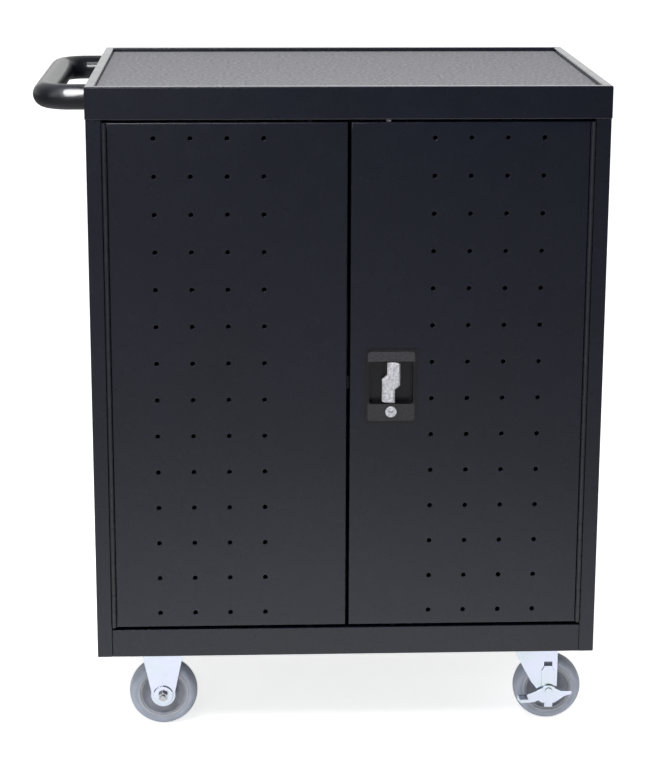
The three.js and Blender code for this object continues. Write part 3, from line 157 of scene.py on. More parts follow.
# Key plug: its lip, then insets from its edge and depths from its face, and the key's slot
PLUG_SIDES = 48
PLUG_LIP = 0.9 * MM
PLUG_LIP_BACK = 1.2 * MM
PLUG_LIP_EDGE = 1.0 * MM
PLUG_EASE = 0.4 * MM
PLUG_RING = 1.5 * MM
GROOVE_OUTER = 1.8 * MM
GROOVE_INNER = 2.2 * MM
GROOVE_DEPTH = 0.5 * MM
PLUG_FACE = 2.5 * MM
PLUG_SUNK = 0.1 * MM
KEYWAY_HALF_X = 3.6 * MM
KEYWAY_HALF_Z = 0.75 * MM
KEYWAY_DEPTH = 5 * MM

# Cord grommet: its bore, its neck in the sheet and the round edge of its flanges
GROMMET_SIDES = 40
GROMMET_BORE = 6.0 * MM
GROMMET_MOUTH = 0.8 * MM
GROMMET_NECK = 10.5 * MM
GROMMET_LIP = 2.2 * MM
GROMMET_CROWN = (2.0 * MM, 1.4 * MM)
GROMMET_SHOULDER = (0.5 * MM, 0.6 * MM)

# Outlets of the power strips, counted from the switch: slots for two blades and an earth pin in a plate
STRIP_HALF = 280 * MM
SWITCH_ROOM = 48 * MM
OUTLET_COUNT = 10
OUTLET_PITCH = 48 * MM
OUTLET_HALF = 13.5 * MM
OUTLET_PLATE_X = 13.2 * MM
OUTLET_PLATE_Z = 14.7 * MM
OUTLET_SET_BACK = 1.3 * MM
OUTLET_EASE = 0.3 * MM
BLADE_SPREAD = 6.35 * MM
BLADE_RISE = 3.5 * MM
BLADE_WIDTH = 1.8 * MM
BLADE_LENGTH = 7.5 * MM
BLADE_CELL = (2.4 * MM, 5.5 * MM)
EARTH_DROP = 7 * MM
EARTH_RADIUS = 2.3 * MM
EARTH_SIDES = 16
EARTH_CELL = 3.2 * MM

# Studio: how bright the world is at two depths, and the floor near the object and far from it:
# its tone, darker far off as a painted falloff of light, and what it adds in the view and, as a
# painted reflection, in mirrors
STUDIO_DARK = (0.0, 0.05)
STUDIO_WHITE = (0.55, 1.0)
SWEEP_NEAR = 0.5
SWEEP_FAR = 1.6
FLOOR_TONE_PAINTED_FALLOFF = (0.93, 0.40)
FLOOR_GLOW = (0.72, 1.0)
FLOOR_PAINTED_REFLECTION = (0.35, 0.0)

# The floor's roughness and half its width, and the cone of a lamp that isn't narrowed, in degrees
FLOOR_ROUGH = 0.9
FLOOR_HALF = 12
FULL_SPREAD = 180

# Caster bolts: hexagon heads under a plate, with the shoulder and end of their ease as shares
BOLT_CORNER = 5.2 * MM
BOLT_SIDES = 6
BOLT_HEIGHT = 4.2 * MM
BOLT_SHOULDER = 0.75
BOLT_END = 0.86
BOLT_X = 36 * MM
BOLT_Y = 24 * MM
BOLT_PLATE = 3 * MM

# Eased edges of the CAD solids by kind of piece, and the steps of an ease
PIN_EASE = 0.3 * MM
PLATED_EASE = 0.4 * MM
SHEET_EASE = 0.45 * MM
CLIP_EASE = 0.5 * MM
MOULDED_EASE = 0.6 * MM
PRESSED_EASE = 0.7 * MM
SOFT_EASE = 0.8 * MM
CAST_EASE = 0.9 * MM
EASE_STEPS = 2
ROUND_STEPS = 3

# Turns in degrees where an edge is eased, where faces are one flat, and where an edge is sharp
EASE_ANGLE = 32
FLAT_ANGLE = 0.5
SHARP_ANGLE = 35

# Points nearer than these are one point: in a solid, in the tray and in a panel's grid
SOLID_WELD = 0.005 * MM
TRAY_WELD = 0.01 * MM
GRID_WELD = 0.05 * MM

# Materials: where a mottle's tones start and end, the detail of the noises, how far and how much
# finer the gloss varies, and the gloss under a clear coat
MOTTLE_ENDS = (0.3, 0.7)
MOTTLE_DETAIL = 4
GLOSS_DETAIL = 5
GRAIN_DETAIL = 3
GLOSS_SWING = 0.05
GLOSS_FINENESS = 5
COATED_GLOSS = 0.1


# Materials

def surface(name, color, rough, mottle, grain, metal=0.0, swing=GLOSS_SWING, tint=(1, 1, 1)):
    """A material whose tone, gloss and fine relief vary over the surface.

    Mottle and grain are each a fineness and a strength, and tint is the lean of the lighter tone.
    """
    made = bpy.data.materials.new(name)
    made.use_nodes = True
    tree = made.node_tree
    shader = tree.nodes["Principled BSDF"]
    shader.inputs["Metallic"].default_value = metal
    place = tree.nodes.new("ShaderNodeTexCoord")

    def noise(scale, detail):
        node = tree.nodes.new("ShaderNodeTexNoise")
        node.inputs["Scale"].default_value = scale
        node.inputs["Detail"].default_value = detail
        tree.links.new(place.outputs["Object"], node.inputs["Vector"])
        return node

    tone = tree.nodes.new("ShaderNodeValToRGB")
    low, high = tone.color_ramp.elements
    low.position, high.position = MOTTLE_ENDS
    low.color = [c * (1 - mottle[1]) for c in color] + [1]
    high.color = [min(c * t * (1 + mottle[1]), 1) for c, t in zip(color, tint)] + [1]
    tree.links.new(noise(mottle[0], MOTTLE_DETAIL).outputs["Fac"], tone.inputs["Fac"])
    tree.links.new(tone.outputs["Color"], shader.inputs["Base Color"])

    gloss = tree.nodes.new("ShaderNodeMapRange")
    gloss.inputs["To Min"].default_value = rough - swing
    gloss.inputs["To Max"].default_value = rough + swing
    tree.links.new(noise(mottle[0] * GLOSS_FINENESS, GLOSS_DETAIL).outputs["Fac"], gloss.inputs["Value"])
    tree.links.new(gloss.outputs["Result"], shader.inputs["Roughness"])

    relief = tree.nodes.new("ShaderNodeBump")
    relief.inputs["Strength"].default_value = 1
    relief.inputs["Distance"].default_value = grain[1]
    tree.links.new(noise(grain[0], GRAIN_DETAIL).outputs["Fac"], relief.inputs["Height"])
    tree.links.new(relief.outputs["Normal"], shader.inputs["Normal"])
    return made


def coat(made, weight, rough):
    """Gives a material a thin clear coat as its only sharp gloss."""
    shader = made.node_tree.nodes["Principled BSDF"]
    shader.inputs["Specular IOR Level"].default_value = COATED_GLOSS
    shader.inputs["Coat Weight"].default_value = weight
    shader.inputs["Coat Roughness"].default_value = rough


def two_tone(made, color, rough, masked):
    """Gives a material another tone where a mask made from its box coordinates is 1."""
    tree = made.node_tree
    shader = tree.nodes["Principled BSDF"]
    place = tree.nodes.new("ShaderNodeTexCoord")
    mask = masked(tree, place.outputs["Generated"])
    for socket, value in (("Base Color", (*color, 1)), ("Roughness", rough)):
        blend = tree.nodes.new("ShaderNodeMix")
        blend.data_type = "RGBA" if socket == "Base Color" else "FLOAT"
        first, second = [i for i in blend.inputs if i.enabled and i.name in "AB"]
        result = next(o for o in blend.outputs if o.enabled)
        second.default_value = value
        tree.links.new(mask, blend.inputs["Factor"])
        tree.links.new(shader.inputs[socket].links[0].from_socket, first)
        tree.links.new(result, shader.inputs[socket])


def off_bands(depth, low, high, shade):
    """A mask that is 1 but on the front of a box: 0 above a height and a shade below another, painted shade
    on that lower band.
    """
    def masked(tree, place):
        apart = tree.nodes.new("ShaderNodeSeparateXYZ")
        deep = tree.nodes.new("ShaderNodeMath")
        deep.operation = "GREATER_THAN"
        deep.inputs[1].default_value = depth
        level = tree.nodes.new("ShaderNodeValToRGB")
        level.color_ramp.interpolation = "CONSTANT"
        first, last = level.color_ramp.elements
        first.color, last.color = (shade, shade, shade, 1), (0, 0, 0, 1)
        last.position = high
        level.color_ramp.elements.new(low).color = (1, 1, 1, 1)
        either = tree.nodes.new("ShaderNodeMath")
        either.operation = "MAXIMUM"
        tree.links.new(place, apart.inputs["Vector"])
        tree.links.new(apart.outputs["Y"], deep.inputs[0])
        tree.links.new(apart.outputs["Z"], level.inputs["Fac"])
        tree.links.new(deep.outputs["Value"], either.inputs[0])
        tree.links.new(level.outputs["Color"], either.inputs[1])
        return either.outputs["Value"]
    return masked


def within(share):
    """A mask that is 1 inside a share of a box's width from the middle, across y."""
    def masked(tree, place):
        # Offsets from the middle of the box, with y left out
        flat = tree.nodes.new("ShaderNodeVectorMath")
        flat.operation = "MULTIPLY_ADD"
        flat.inputs[1].default_value = (1, 0, 1)
        flat.inputs[2].default_value = (-0.5, 0, -0.5)
        reach = tree.nodes.new("ShaderNodeVectorMath")
        reach.operation = "LENGTH"
        near = tree.nodes.new("ShaderNodeMath")
        near.operation = "LESS_THAN"
        near.inputs[1].default_value = share
        tree.links.new(place, flat.inputs[0])
        tree.links.new(flat.outputs["Vector"], reach.inputs[0])
        tree.links.new(reach.outputs["Value"], near.inputs[0])
        return near.outputs["Value"]
    return masked


paint = surface("powder_coat", color=(0.0050, 0.0065, 0.0150), rough=0.27,
                mottle=(6, 0.10), grain=(1100, 0.00003))
zinc = surface("zinc_plate", color=(0.60, 0.675, 0.725), rough=0.24, metal=1.0,
               mottle=(28, 0.04), grain=(500, 0.00002), swing=0.07, tint=(1.04, 0.95, 1.08))
bolt_steel = surface("bolt_steel", color=(0.46, 0.47, 0.49), rough=0.30, metal=1.0,
                     mottle=(300, 0.20), grain=(900, 0.00004))
satin_metal = surface("satin_cast", color=(0.70, 0.70, 0.745), rough=0.48, metal=0.5,
                      mottle=(300, 0.34), grain=(600, 0.00015))
rod_plate = surface("rod_plate", color=(0.90, 0.90, 0.92), rough=0.42, metal=0.2,
                    mottle=(200, 0.06), grain=(900, 0.00004))
black_plastic = surface("black_plastic", color=(0.030, 0.030, 0.034), rough=0.55,
                        mottle=(300, 0.25), grain=(900, 0.00010))
lock_plastic = surface("lock_plastic", color=(0.038, 0.037, 0.044), rough=0.60,
                       mottle=(330, 0.45), grain=(600, 0.00025))
# The band below the recess leans part way to the recess's dark tone: painted shade
two_tone(lock_plastic, color=(0.0045, 0.0045, 0.0075), rough=0.28,
         masked=off_bands(LOCK_FACE, LOCK_LOW, LOCK_HIGH, LOCK_LOW_PAINTED_SHADE))
gloss_black = surface("gloss_black", color=(0.0075, 0.0080, 0.011), rough=0.45,
                      mottle=(30, 0.1), grain=(300, 0.00001))
coat(gloss_black, weight=0.27, rough=0.10)
mat_rubber = surface("mat_rubber", color=(0.160, 0.160, 0.172), rough=0.85,
                     mottle=(190, 0.42), grain=(500, 0.0008))
tyre_rubber = surface("tyre_rubber", color=(0.43, 0.47, 0.56), rough=0.55,
                      mottle=(40, 0.10), grain=(1500, 0.00003))
two_tone(tyre_rubber, color=(0.52, 0.53, 0.58), rough=0.50, masked=within(BEAD_SHARE))
hub_plastic = surface("hub_plastic", color=(0.37, 0.385, 0.44), rough=0.28,
                      mottle=(90, 0.12), grain=(800, 0.00004))
rack_plastic = surface("rack_plastic", color=(0.040, 0.041, 0.046), rough=0.55,
                       mottle=(50, 0.10), grain=(1000, 0.00006))
hinge_steel = surface("hinge_paint", color=(0.016, 0.0170, 0.024), rough=0.34,
                      mottle=(150, 0.20), grain=(900, 0.00003))


# Meshes

def finish_piece(name, bm, material, body, replaced=(), sharp=SHARP_ANGLE):
    """Turns a mesh in the making into a piece that rides on a body."""
    bmesh.ops.recalc_face_normals(bm, faces=bm.faces)
    mesh = bpy.data.meshes.new(name)
    bm.to_mesh(mesh)
    bm.free()
    mesh.shade_smooth()
    mesh.set_sharp_from_angle(angle=math.radians(sharp))
    mesh.materials.append(material)
    made = bpy.data.objects.new(name, mesh)
    bpy.context.scene.collection.objects.link(made)
    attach(made, body)
    if replaced:
        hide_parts(*replaced)
    return made


def strip(bm, first, second, closed=True):
    """Quads between two rows of vertices."""
    count = len(first) if closed else len(first) - 1
    for i in range(count):
        j = (i + 1) % len(first)
        bm.faces.new((first[i], first[j], second[j], second[i]))


def loft(bm, rings, capped=False, looped=False):
    """A skin over closed rings of points."""
    rows = [[bm.verts.new(p) for p in ring] for ring in rings]
    for a, b in zip(rows, rows[1:]):
        strip(bm, a, b)
    if looped:
        strip(bm, rows[-1], rows[0])
    if capped:
        bm.faces.new(rows[0])
        bm.faces.new(rows[-1])


def circle(sides, start=0.0):
    """Points round a circle of radius 1, from a share of a step on."""
    angles = [2 * math.pi * (i + start) / sides for i in range(sides)]
    return [(math.cos(a), math.sin(a)) for a in angles]


def quarter_steps():
    """Angles of a quarter turn, in the steps of a fold."""
    return [math.pi / 2 * i / FOLD_STEPS for i in range(FOLD_STEPS + 1)]


def turn(bm, centre, profile, sides):
    """A ring turned about an axis along y from radius and width pairs."""
    rings = []
    for radius, along in profile:
        rings.append([centre + Vector((radius * a, along, radius * b)) for a, b in circle(sides)])
    loft(bm, rings, looped=True)


def mirrored(half):
    """A profile and its mirror image across the middle of the width."""
    return half + [(r, -y) for r, y in reversed(half)]


def rounded_loop(low, high, radius):
    """A rectangle with round corners, in its own plane."""
    radius = max(radius, LEAST_CORNER)
    points = []
    corners = ((high, high, 0), (low, high, 1), (low, low, 2), (high, low, 3))
    for a, b, quarter in corners:
        x = a[0] - math.copysign(radius, a[0] - (low[0] + high[0]) / 2)
        y = b[1] - math.copysign(radius, b[1] - (low[1] + high[1]) / 2)
        for i in range(FOLD_STEPS + 1):
            angle = (quarter + i / FOLD_STEPS) * math.pi / 2
            points.append((x + radius * math.cos(angle), y + radius * math.sin(angle)))
    return points


def round_hole(radius, sides=HOLE_SIDES):
    """The outline of a round hole, for any growth of it."""
    def outline(grow):
        return [((radius + grow) * a, (radius + grow) * b) for a, b in circle(sides, HALF_STEP)]
    return outline


def slot_hole(width, length):
    """The outline of an upright slot with round ends, for any growth of it."""
    def outline(grow):
        r = width / 2 + grow
        points = []
        for end, start in ((1, 0), (-1, math.pi)):
            for i in range(SLOT_STEPS + 1):
                a = start + math.pi * (i + SLOT_TRIM) / (SLOT_STEPS + 2 * SLOT_TRIM)
                points.append((r * math.cos(a), end * (length - width) / 2 + r * math.sin(a)))
        return points
    return outline


def corner_of(a, b):
    """Which corner of a cell an offset from its middle points at, counted round from the lowest."""
    if a < 0:
        return 0 if b < 0 else 3
    return 1 if b < 0 else 2


def fill_round(bm, ring, corners, x, z):
    """Faces between a ring of vertices about a point and the four corners round it."""
    near = [corners[corner_of(v.co.x - x, v.co.z - z)] for v in ring]
    for k, v in enumerate(ring):
        m = (k + 1) % len(ring)
        ends = (near[k],) if near[k] is near[m] else (near[k], near[m])
        bm.faces.new((*ends, ring[m], v))


class Panel:
    """A perforated sheet in an x-z plane with thickness, made of cells."""

    def __init__(self, bm, x_edges, z_edges, face, inward, holes, openings=(), ease=HOLE_EASE):
        self.bm = bm
        self.ease = ease
        self.face = face
        self.inward = inward
        self.holes = {self.key(cx, cz): (cx, cz, outline) for cx, cz, _, _, outline in holes}
        xs, zs = set(x_edges), set(z_edges)
        for cx, cz, hx, hz, _ in holes:
            xs.update((cx - hx, cx + hx))
            zs.update((cz - hz, cz + hz))
        for x0, x1, z0, z1 in openings:
            xs.update((x0, x1))
            zs.update((z0, z1))
        self.xs, self.zs = self.clean(xs), self.clean(zs)
        self.openings = openings
        self.points = {}
        self.build()

    @staticmethod
    def key(x, z):
        """What a hole and the cell round it are matched by."""
        return round(x / MM, 1), round(z / MM, 1)

    @staticmethod
    def clean(values):
        """Grid lines in order, with those that lie on each other as one."""
        kept = []
        for v in sorted(values):
            if not kept or v - kept[-1] > GRID_WELD:
                kept.append(v)
        return kept

    def point(self, i, j, deep):
        """A grid vertex on the outer skin, or on the inner one."""
        if (i, j, deep) not in self.points:
            y = self.face + self.inward * (SHEET if deep else 0)
            self.points[i, j, deep] = self.bm.verts.new((self.xs[i], y, self.zs[j]))
        return self.points[i, j, deep]

    def is_open(self, i, j):
        """Whether a cell lies in an opening."""
        if not (0 <= i < len(self.xs) - 1 and 0 <= j < len(self.zs) - 1):
            return False
        x, z = (self.xs[i] + self.xs[i + 1]) / 2, (self.zs[j] + self.zs[j + 1]) / 2
        return any(x0 < x < x1 and z0 < z < z1 for x0, x1, z0, z1 in self.openings)

    def build(self):
        """Makes the cells of the sheet."""
        for i in range(len(self.xs) - 1):
            for j in range(len(self.zs) - 1):
                self.cell(i, j)

    def cell(self, i, j):
        """Makes the walls of an opened cell, or both skins of a plain or a punched one."""
        corners = ((i, j), (i + 1, j), (i + 1, j + 1), (i, j + 1))
        if self.is_open(i, j):
            sides = ((i, j - 1), (i + 1, j), (i, j + 1), (i - 1, j))
            for k, (a, b) in enumerate(sides):
                if not self.is_open(a, b):
                    p, q = corners[k], corners[(k + 1) % len(corners)]
                    wall = ((*p, 0), (*q, 0), (*q, 1), (*p, 1))
                    self.bm.faces.new([self.point(*at) for at in wall])
            return
        middle = self.key((self.xs[i] + self.xs[i + 1]) / 2, (self.zs[j] + self.zs[j + 1]) / 2)
        if middle not in self.holes:
            for deep in (0, 1):
                self.bm.faces.new([self.point(*c, deep) for c in corners])
            return
        cx, cz, outline = self.holes[middle]
        rings = self.rim(cx, cz, outline)
        for deep, ring in ((0, rings[0]), (1, rings[-1])):
            fill_round(self.bm, ring, [self.point(*c, deep) for c in corners], cx, cz)
        for a, b in zip(rings, rings[1:]):
            strip(self.bm, a, b)

    def rim(self, cx, cz, outline):
        """The rings of a punched hole: its rolled front edge, then its wall."""
        steps = [(self.ease * (1 - math.sin(t)), self.ease * (1 - math.cos(t))) for t in quarter_steps()]
        rings = []
        for grow, deep in steps + [(0, SHEET)]:
            y = self.face + self.inward * deep
            rings.append([self.bm.verts.new((cx + a, y, cz + b)) for a, b in outline(grow)])
        return rings

    def border(self, deep):
        """The vertices round the edge of one skin, in order, with the side that each lies on."""
        nx, nz = len(self.xs) - 1, len(self.zs) - 1
        walk = [(i, 0) for i in range(nx)] + [(nx, j) for j in range(nz)]
        walk += [(i, nz) for i in range(nx, 0, -1)] + [(0, j) for j in range(nz, 0, -1)]
        row = []
        for i, j in walk:
            out_x = -1 if i == 0 else (1 if i == nx else 0)
            out_z = -1 if j == 0 else (1 if j == nz else 0)
            row.append((self.point(i, j, deep), out_x, out_z))
        return row

    def close_edge(self):
        """Joins the two skins round the edge of the sheet."""
        strip(self.bm, [v for v, _, _ in self.border(0)], [v for v, _, _ in self.border(1)])


def finish_sheet(name, bm, body, node):
    """Finishes a piece of painted sheet metal, whose flats stay flat beside its folds and holes."""
    made = finish_piece(name, bm, paint, body, [node])
    made.modifiers.new("flat", "WEIGHTED_NORMAL").keep_sharp = True


def door(node, face, inward, holes, openings=()):
    """A door: perforated skin, folded flanges and return lips, open at its back."""
    low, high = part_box(node)
    depth = high.y - low.y
    bm = bmesh.new()
    x_edges = (low.x + FOLD, high.x - FOLD)
    z_edges = (low.z + FOLD, high.z - FOLD)
    panel = Panel(bm, x_edges, z_edges, face, inward, holes, openings)
    inner = FOLD - SHEET
    outside = [(FOLD * math.sin(t), FOLD * (1 - math.cos(t))) for t in quarter_steps()]
    back = [(FOLD * math.cos(t), depth - FOLD + FOLD * math.sin(t)) for t in quarter_steps()]
    lip = [(FOLD - DOOR_LIP, depth), (FOLD - DOOR_LIP, depth - SHEET)]
    inside = [(inner * math.cos(t), depth - FOLD + inner * math.sin(t)) for t in reversed(quarter_steps())]
    front = [(inner * math.sin(t), FOLD - inner * math.cos(t)) for t in reversed(quarter_steps())]
    loops = outside[1:] + back + lip + inside + front[:-1]
    border = panel.border(0)
    rows = [[v for v, _, _ in border]]
    for out, along in loops:
        y = face + inward * along
        rows.append([bm.verts.new((v.co.x + a * out, y, v.co.z + b * out)) for v, a, b in border])
    rows.append([v for v, _, _ in panel.border(1)])
    for a, b in zip(rows, rows[1:]):
        strip(bm, a, b)
    finish_sheet(f"{node}_pan", bm, node, node)


def bolt_tabs():
    """The tabs folded from the left door, with the holes that its slide bolts run in."""
    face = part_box("left_door")[0].y + SHEET
    bm = bmesh.new()
    for end, side in (("top", -1), ("bottom", 1)):
        low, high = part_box(f"left_{end}_bolt_pin")
        x = (low.x + high.x) / 2
        y = low.y + (high.x - low.x) / 2
        door_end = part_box("left_door")[1 if end == "top" else 0].z
        z = door_end + side * BOLT_TAB_DROP
        hole = (x, y, BOLT_TAB / 2, BOLT_TAB / 2, round_hole((high.x - low.x) / 2 + BOLT_CLEARANCE))
        x_edges = (x - BOLT_TAB / 2, x + BOLT_TAB / 2)
        Panel(bm, x_edges, (face, y + BOLT_TAB / 2), z, 1, [hole]).close_edge()
    for v in bm.verts:
        v.co = (v.co.x, v.co.z, v.co.y)
    finish_piece("left_door_bolt_tabs", bm, paint, "left_door")


def front_holes(node, hinge_side):
    """The round vent holes of a front door, counted from its hinge edge."""
    low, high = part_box(node)
    first = (low.z + high.z - (HOLE_ROWS - 1) * HOLE_PITCH_Z) / 2
    edge = low.x if hinge_side < 0 else high.x
    holes = []
    for column in range(HOLE_COLUMNS):
        x = edge - hinge_side * (HOLE_EDGE + column * HOLE_PITCH_X)
        for row in range(HOLE_ROWS):
            holes.append((x, first + row * HOLE_PITCH_Z, HOLE_CELL, HOLE_CELL, round_hole(HOLE_RADIUS)))
    return holes


def rear_holes():
    """The vent slots of the rear door and the bore of its lock."""
    low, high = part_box("rear_door")
    lock_low, lock_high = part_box("rear_lock_cylinder")
    pan_low, pan_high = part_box("base_pan")
    middle = (pan_low.x + pan_high.x) / 2
    vent = slot_hole(VENT_WIDTH, VENT_LENGTH)
    holes = []
    for z in (low.z + VENT_MARGIN + VENT_LENGTH / 2, high.z - VENT_MARGIN - VENT_LENGTH / 2):
        for i in range(VENT_COUNT):
            x = middle + (i - (VENT_COUNT - 1) / 2) * VENT_PITCH
            holes.append((x, z, VENT_CELL, VENT_LENGTH / 2 + VENT_CELL, vent))
    x = (lock_low.x + lock_high.x) / 2
    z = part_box("middle_shelf")[1].z
    holes.append((x, z, REAR_BORE_CELL, REAR_BORE_CELL, round_hole(REAR_BORE)))
    return holes


def top_tray():
    """Folded tray: return lip, apron, rolled rim and sunk deck, with its inner skin."""
    low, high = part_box("top_tray")
    top, bottom = high.z, low.z
    deck = top - RIM_DEPTH
    t = quarter_steps()
    outer = [(TRAY_LIP, bottom + SHEET), (TRAY_LIP, bottom)]
    outer += [(FOLD - FOLD * math.sin(a), bottom + FOLD - FOLD * math.cos(a)) for a in t]
    outer += [(FOLD - FOLD * math.cos(a), top - FOLD + FOLD * math.sin(a)) for a in t]
    outer += [(RIM_WIDTH - FOLD + FOLD * math.sin(a), top - FOLD + FOLD * math.cos(a)) for a in t]
    outer += [(RIM_WIDTH, deck)]
    inner = [(TRAY_LIP, bottom + SHEET), (SHEET, bottom + SHEET), (SHEET, top - SHEET),
             (RIM_WIDTH - SHEET, top - SHEET), (RIM_WIDTH - SHEET, deck - SHEET)]
    bm = bmesh.new()
    for profile in (outer, inner):
        rings = []
        for inset, z in profile:
            near = (low.x + inset, low.y + inset)
            far = (high.x - inset, high.y - inset)
            rings.append([(x, y, z) for x, y in rounded_loop(near, far, TRAY_CORNER - inset)])
        rows = [[bm.verts.new(p) for p in ring] for ring in rings]
        for a, b in zip(rows, rows[1:]):
            strip(bm, a, b)
        bm.faces.new(rows[-1])
    bmesh.ops.remove_doubles(bm, verts=bm.verts, dist=TRAY_WELD)
    finish_sheet("tray", bm, "cabinet", "top_tray")


def push_handle():
    """A smooth bent tube that goes into the end of the tray."""
    low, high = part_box("push_handle")
    z = (low.z + high.z) / 2
    radius = (high.z - low.z) / 2
    bar_x = low.x + radius
    half = high.y - radius
    line = []
    for i in range(GRIP_STRAIGHT_STEPS):
        line.append((high.x + (bar_x + GRIP_BEND - high.x) * i / GRIP_STRAIGHT_STEPS, -half))
    for i in range(GRIP_BEND_STEPS + 1):
        a = math.pi / 2 * i / GRIP_BEND_STEPS
        line.append((bar_x + GRIP_BEND * (1 - math.sin(a)), -half + GRIP_BEND * (1 - math.cos(a))))
    line += [(x, -y) for x, y in reversed(line)]
    rings = []
    for i, (x, y) in enumerate(line):
        ahead, behind = line[min(i + 1, len(line) - 1)], line[max(i - 1, 0)]
        along = Vector((ahead[0] - behind[0], ahead[1] - behind[1])).normalized()
        side = Vector((-along.y, along.x, 0))
        up = Vector((0, 0, 1))
        rings.append([Vector((x, y, z)) + radius * (a * side + b * up) for a, b in circle(GRIP_SIDES)])
    bm = bmesh.new()
    loft(bm, rings, capped=True)
    return finish_piece("grip_tube", bm, gloss_black, "cabinet", ["push_handle"])


def side_panel(name, side):
    """One sheet folded into a wall, two stiles and their return lips."""
    low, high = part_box(name)
    outer = high.x if side > 0 else low.x
    stile = outer - side * STILE_WIDTH
    corners = [(stile, low.y + STILE_RETURN), (stile, low.y), (outer, low.y),
               (outer, high.y), (stile, high.y), (stile, high.y - STILE_RETURN)]
    bm = bmesh.new()
    rows = [folded_line(corners, inset, side) for inset in (0, SHEET)]
    outline = rows[0] + rows[1][::-1]
    loft(bm, [[(x, y, z) for x, y in outline] for z in (low.z, high.z)])
    count = len(rows[0])
    for row in (bm.verts[:2 * count], bm.verts[2 * count:]):
        first, second = row[:count], row[count:][::-1]
        strip(bm, first, second, closed=False)
    finish_sheet(name.replace("panel", "sheet"), bm, "cabinet", name)


def folded_line(corners, inset, side):
    """A line through fold corners, rounded at each, moved in by an inset."""
    points = []
    radius = FOLD - inset
    for i, corner in enumerate(corners):
        here = Vector(corner)
        if i in (0, len(corners) - 1):
            other = Vector(corners[1 if i == 0 else -2])
            along = (other - here).normalized() * (1 if i == 0 else -1)
            points.append(tuple(here - inset * side * Vector((along.y, -along.x))))
            continue
        into = (here - Vector(corners[i - 1])).normalized()
        out = (Vector(corners[i + 1]) - here).normalized()
        centre = here - into * FOLD + out * FOLD
        for t in quarter_steps():
            points.append(tuple(centre - radius * math.cos(t) * out + radius * math.sin(t) * into))
    return points


def hinge(name, door_body, frame_side):
    """A continuous hinge: knuckles of both leaves in turn, each rolled from its leaf."""
    pin_low, pin_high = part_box(f"{name}_hinge_pin")
    axis = (pin_low + pin_high) / 2
    count = round((pin_high.z - pin_low.z) / KNUCKLE)
    length = (pin_high.z - pin_low.z) / count
    for first, body, kind in ((0, "cabinet", "frame"), (1, door_body, "door")):
        low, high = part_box(f"{name}_hinge_{kind}_leaf")
        side = frame_side if kind == "frame" else -frame_side
        edge = high.x if side > 0 else low.x
        bm = bmesh.new()
        for i in range(first, count, 2):
            z0 = pin_low.z + i * length + KNUCKLE_GAP / 2
            barrel(bm, axis, z0, z0 + length - KNUCKLE_GAP, KNUCKLE_RADIUS, KNUCKLE_RADIUS - LEAF_SHEET)
        xs = sorted((edge, edge - side * LEAF_SHEET))
        ys = sorted((axis.y, high.y if axis.y < 0 else low.y))
        loop = rounded_loop((xs[0], ys[0]), (xs[1], ys[1]), LEAF_ROUND)
        loft(bm, [[(x, y, z) for x, y in loop] for z in (pin_low.z, pin_high.z)], capped=True)
        finish_piece(f"{name}_hinge_{kind}_knuckles", bm, hinge_steel, body,
                     [f"{name}_hinge_{kind}_leaf"])


def upright(bm, axis, profile, closed):
    """A form turned about an upright axis: a ring from a closed profile, or one with closed ends."""
    rings = []
    for radius, z in profile:
        rings.append([(axis.x + radius * a, axis.y + radius * b, z) for a, b in circle(KNUCKLE_SIDES)])
    loft(bm, rings, capped=not closed, looped=closed)


def barrel(bm, axis, z0, z1, outer, inner):
    """An upright barrel with eased ends."""
    profile = [(inner, z0), (outer - KNUCKLE_ROUND, z0), (outer, z0 + KNUCKLE_ROUND),
               (outer, z1 - KNUCKLE_ROUND), (outer - KNUCKLE_ROUND, z1), (inner, z1)]
    upright(bm, axis, profile, closed=True)


def arc(centre, size, start, end, steps):
    """Points along an ellipse, from one angle in degrees to another."""
    angles = [math.radians(start + (end - start) * i / steps) for i in range(steps + 1)]
    return [(centre[0] + size[0] * math.cos(a), centre[1] + size[1] * math.sin(a)) for a in angles]


def tyre_section(radius, half):
    """Half of a tyre's section: a round bead at the hub, then the wall up to the tread."""
    bead = arc((TYRE_SEAT + BEAD, BEAD - half), (BEAD, BEAD), *BEAD_SWEEP, BEAD_STEPS)
    wall = arc((WALL_START, -TREAD_HALF), (radius - WALL_START, half - TREAD_HALF), *WALL_SWEEP, WALL_STEPS)
    return bead + wall


def hub_section():
    """Half of a hub's section: the boss round the axle, a dish and the rim."""
    boss = [(HUB_BORE, -BOSS_FACE), (BOSS_RADIUS, -BOSS_FACE)]
    size = (DISH_END - DISH_START, HUB_FACE - DISH_FACE)
    dish = arc((DISH_START, -HUB_FACE), size, *DISH_SWEEP, DISH_STEPS)
    return boss + dish + [(HUB_RIM, -HUB_FACE)]


def wheel(caster, body):
    """Soft tyre and dished hub, turned about the axle."""
    low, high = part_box(f"{caster}_caster_tyre")
    centre = (low + high) / 2
    tyre = tyre_section((high.z - low.z) / 2, (high.y - low.y) / 2)
    for part, section, material, slot in (("tyre", tyre, tyre_rubber, "tyre_rubber"),
                                          ("hub", hub_section(), hub_plastic, "hub_plastic")):
        bm = bmesh.new()
        turn(bm, centre, mirrored(section), WHEEL_SIDES)
        replaced = [f"{caster}_caster_{part}"]
        finish_piece(f"{caster}_{part}", bm, material, body, replaced, sharp=WHEEL_SHARP)


def rod_end(rod):
    """The middle of a rod's lower end, and its radius."""
    tip = [nodes[rod].matrix_world @ v.co for v in nodes[rod].data.vertices]
    floor = min(p.z for p in tip)
    tip = [p for p in tip if p.z < floor + SHEET]
    low_x, high_x = min(p.x for p in tip), max(p.x for p in tip)
    low_y, high_y = min(p.y for p in tip), max(p.y for p in tip)
    return Vector(((low_x + high_x) / 2, (low_y + high_y) / 2, floor)), (high_x - low_x) / 2


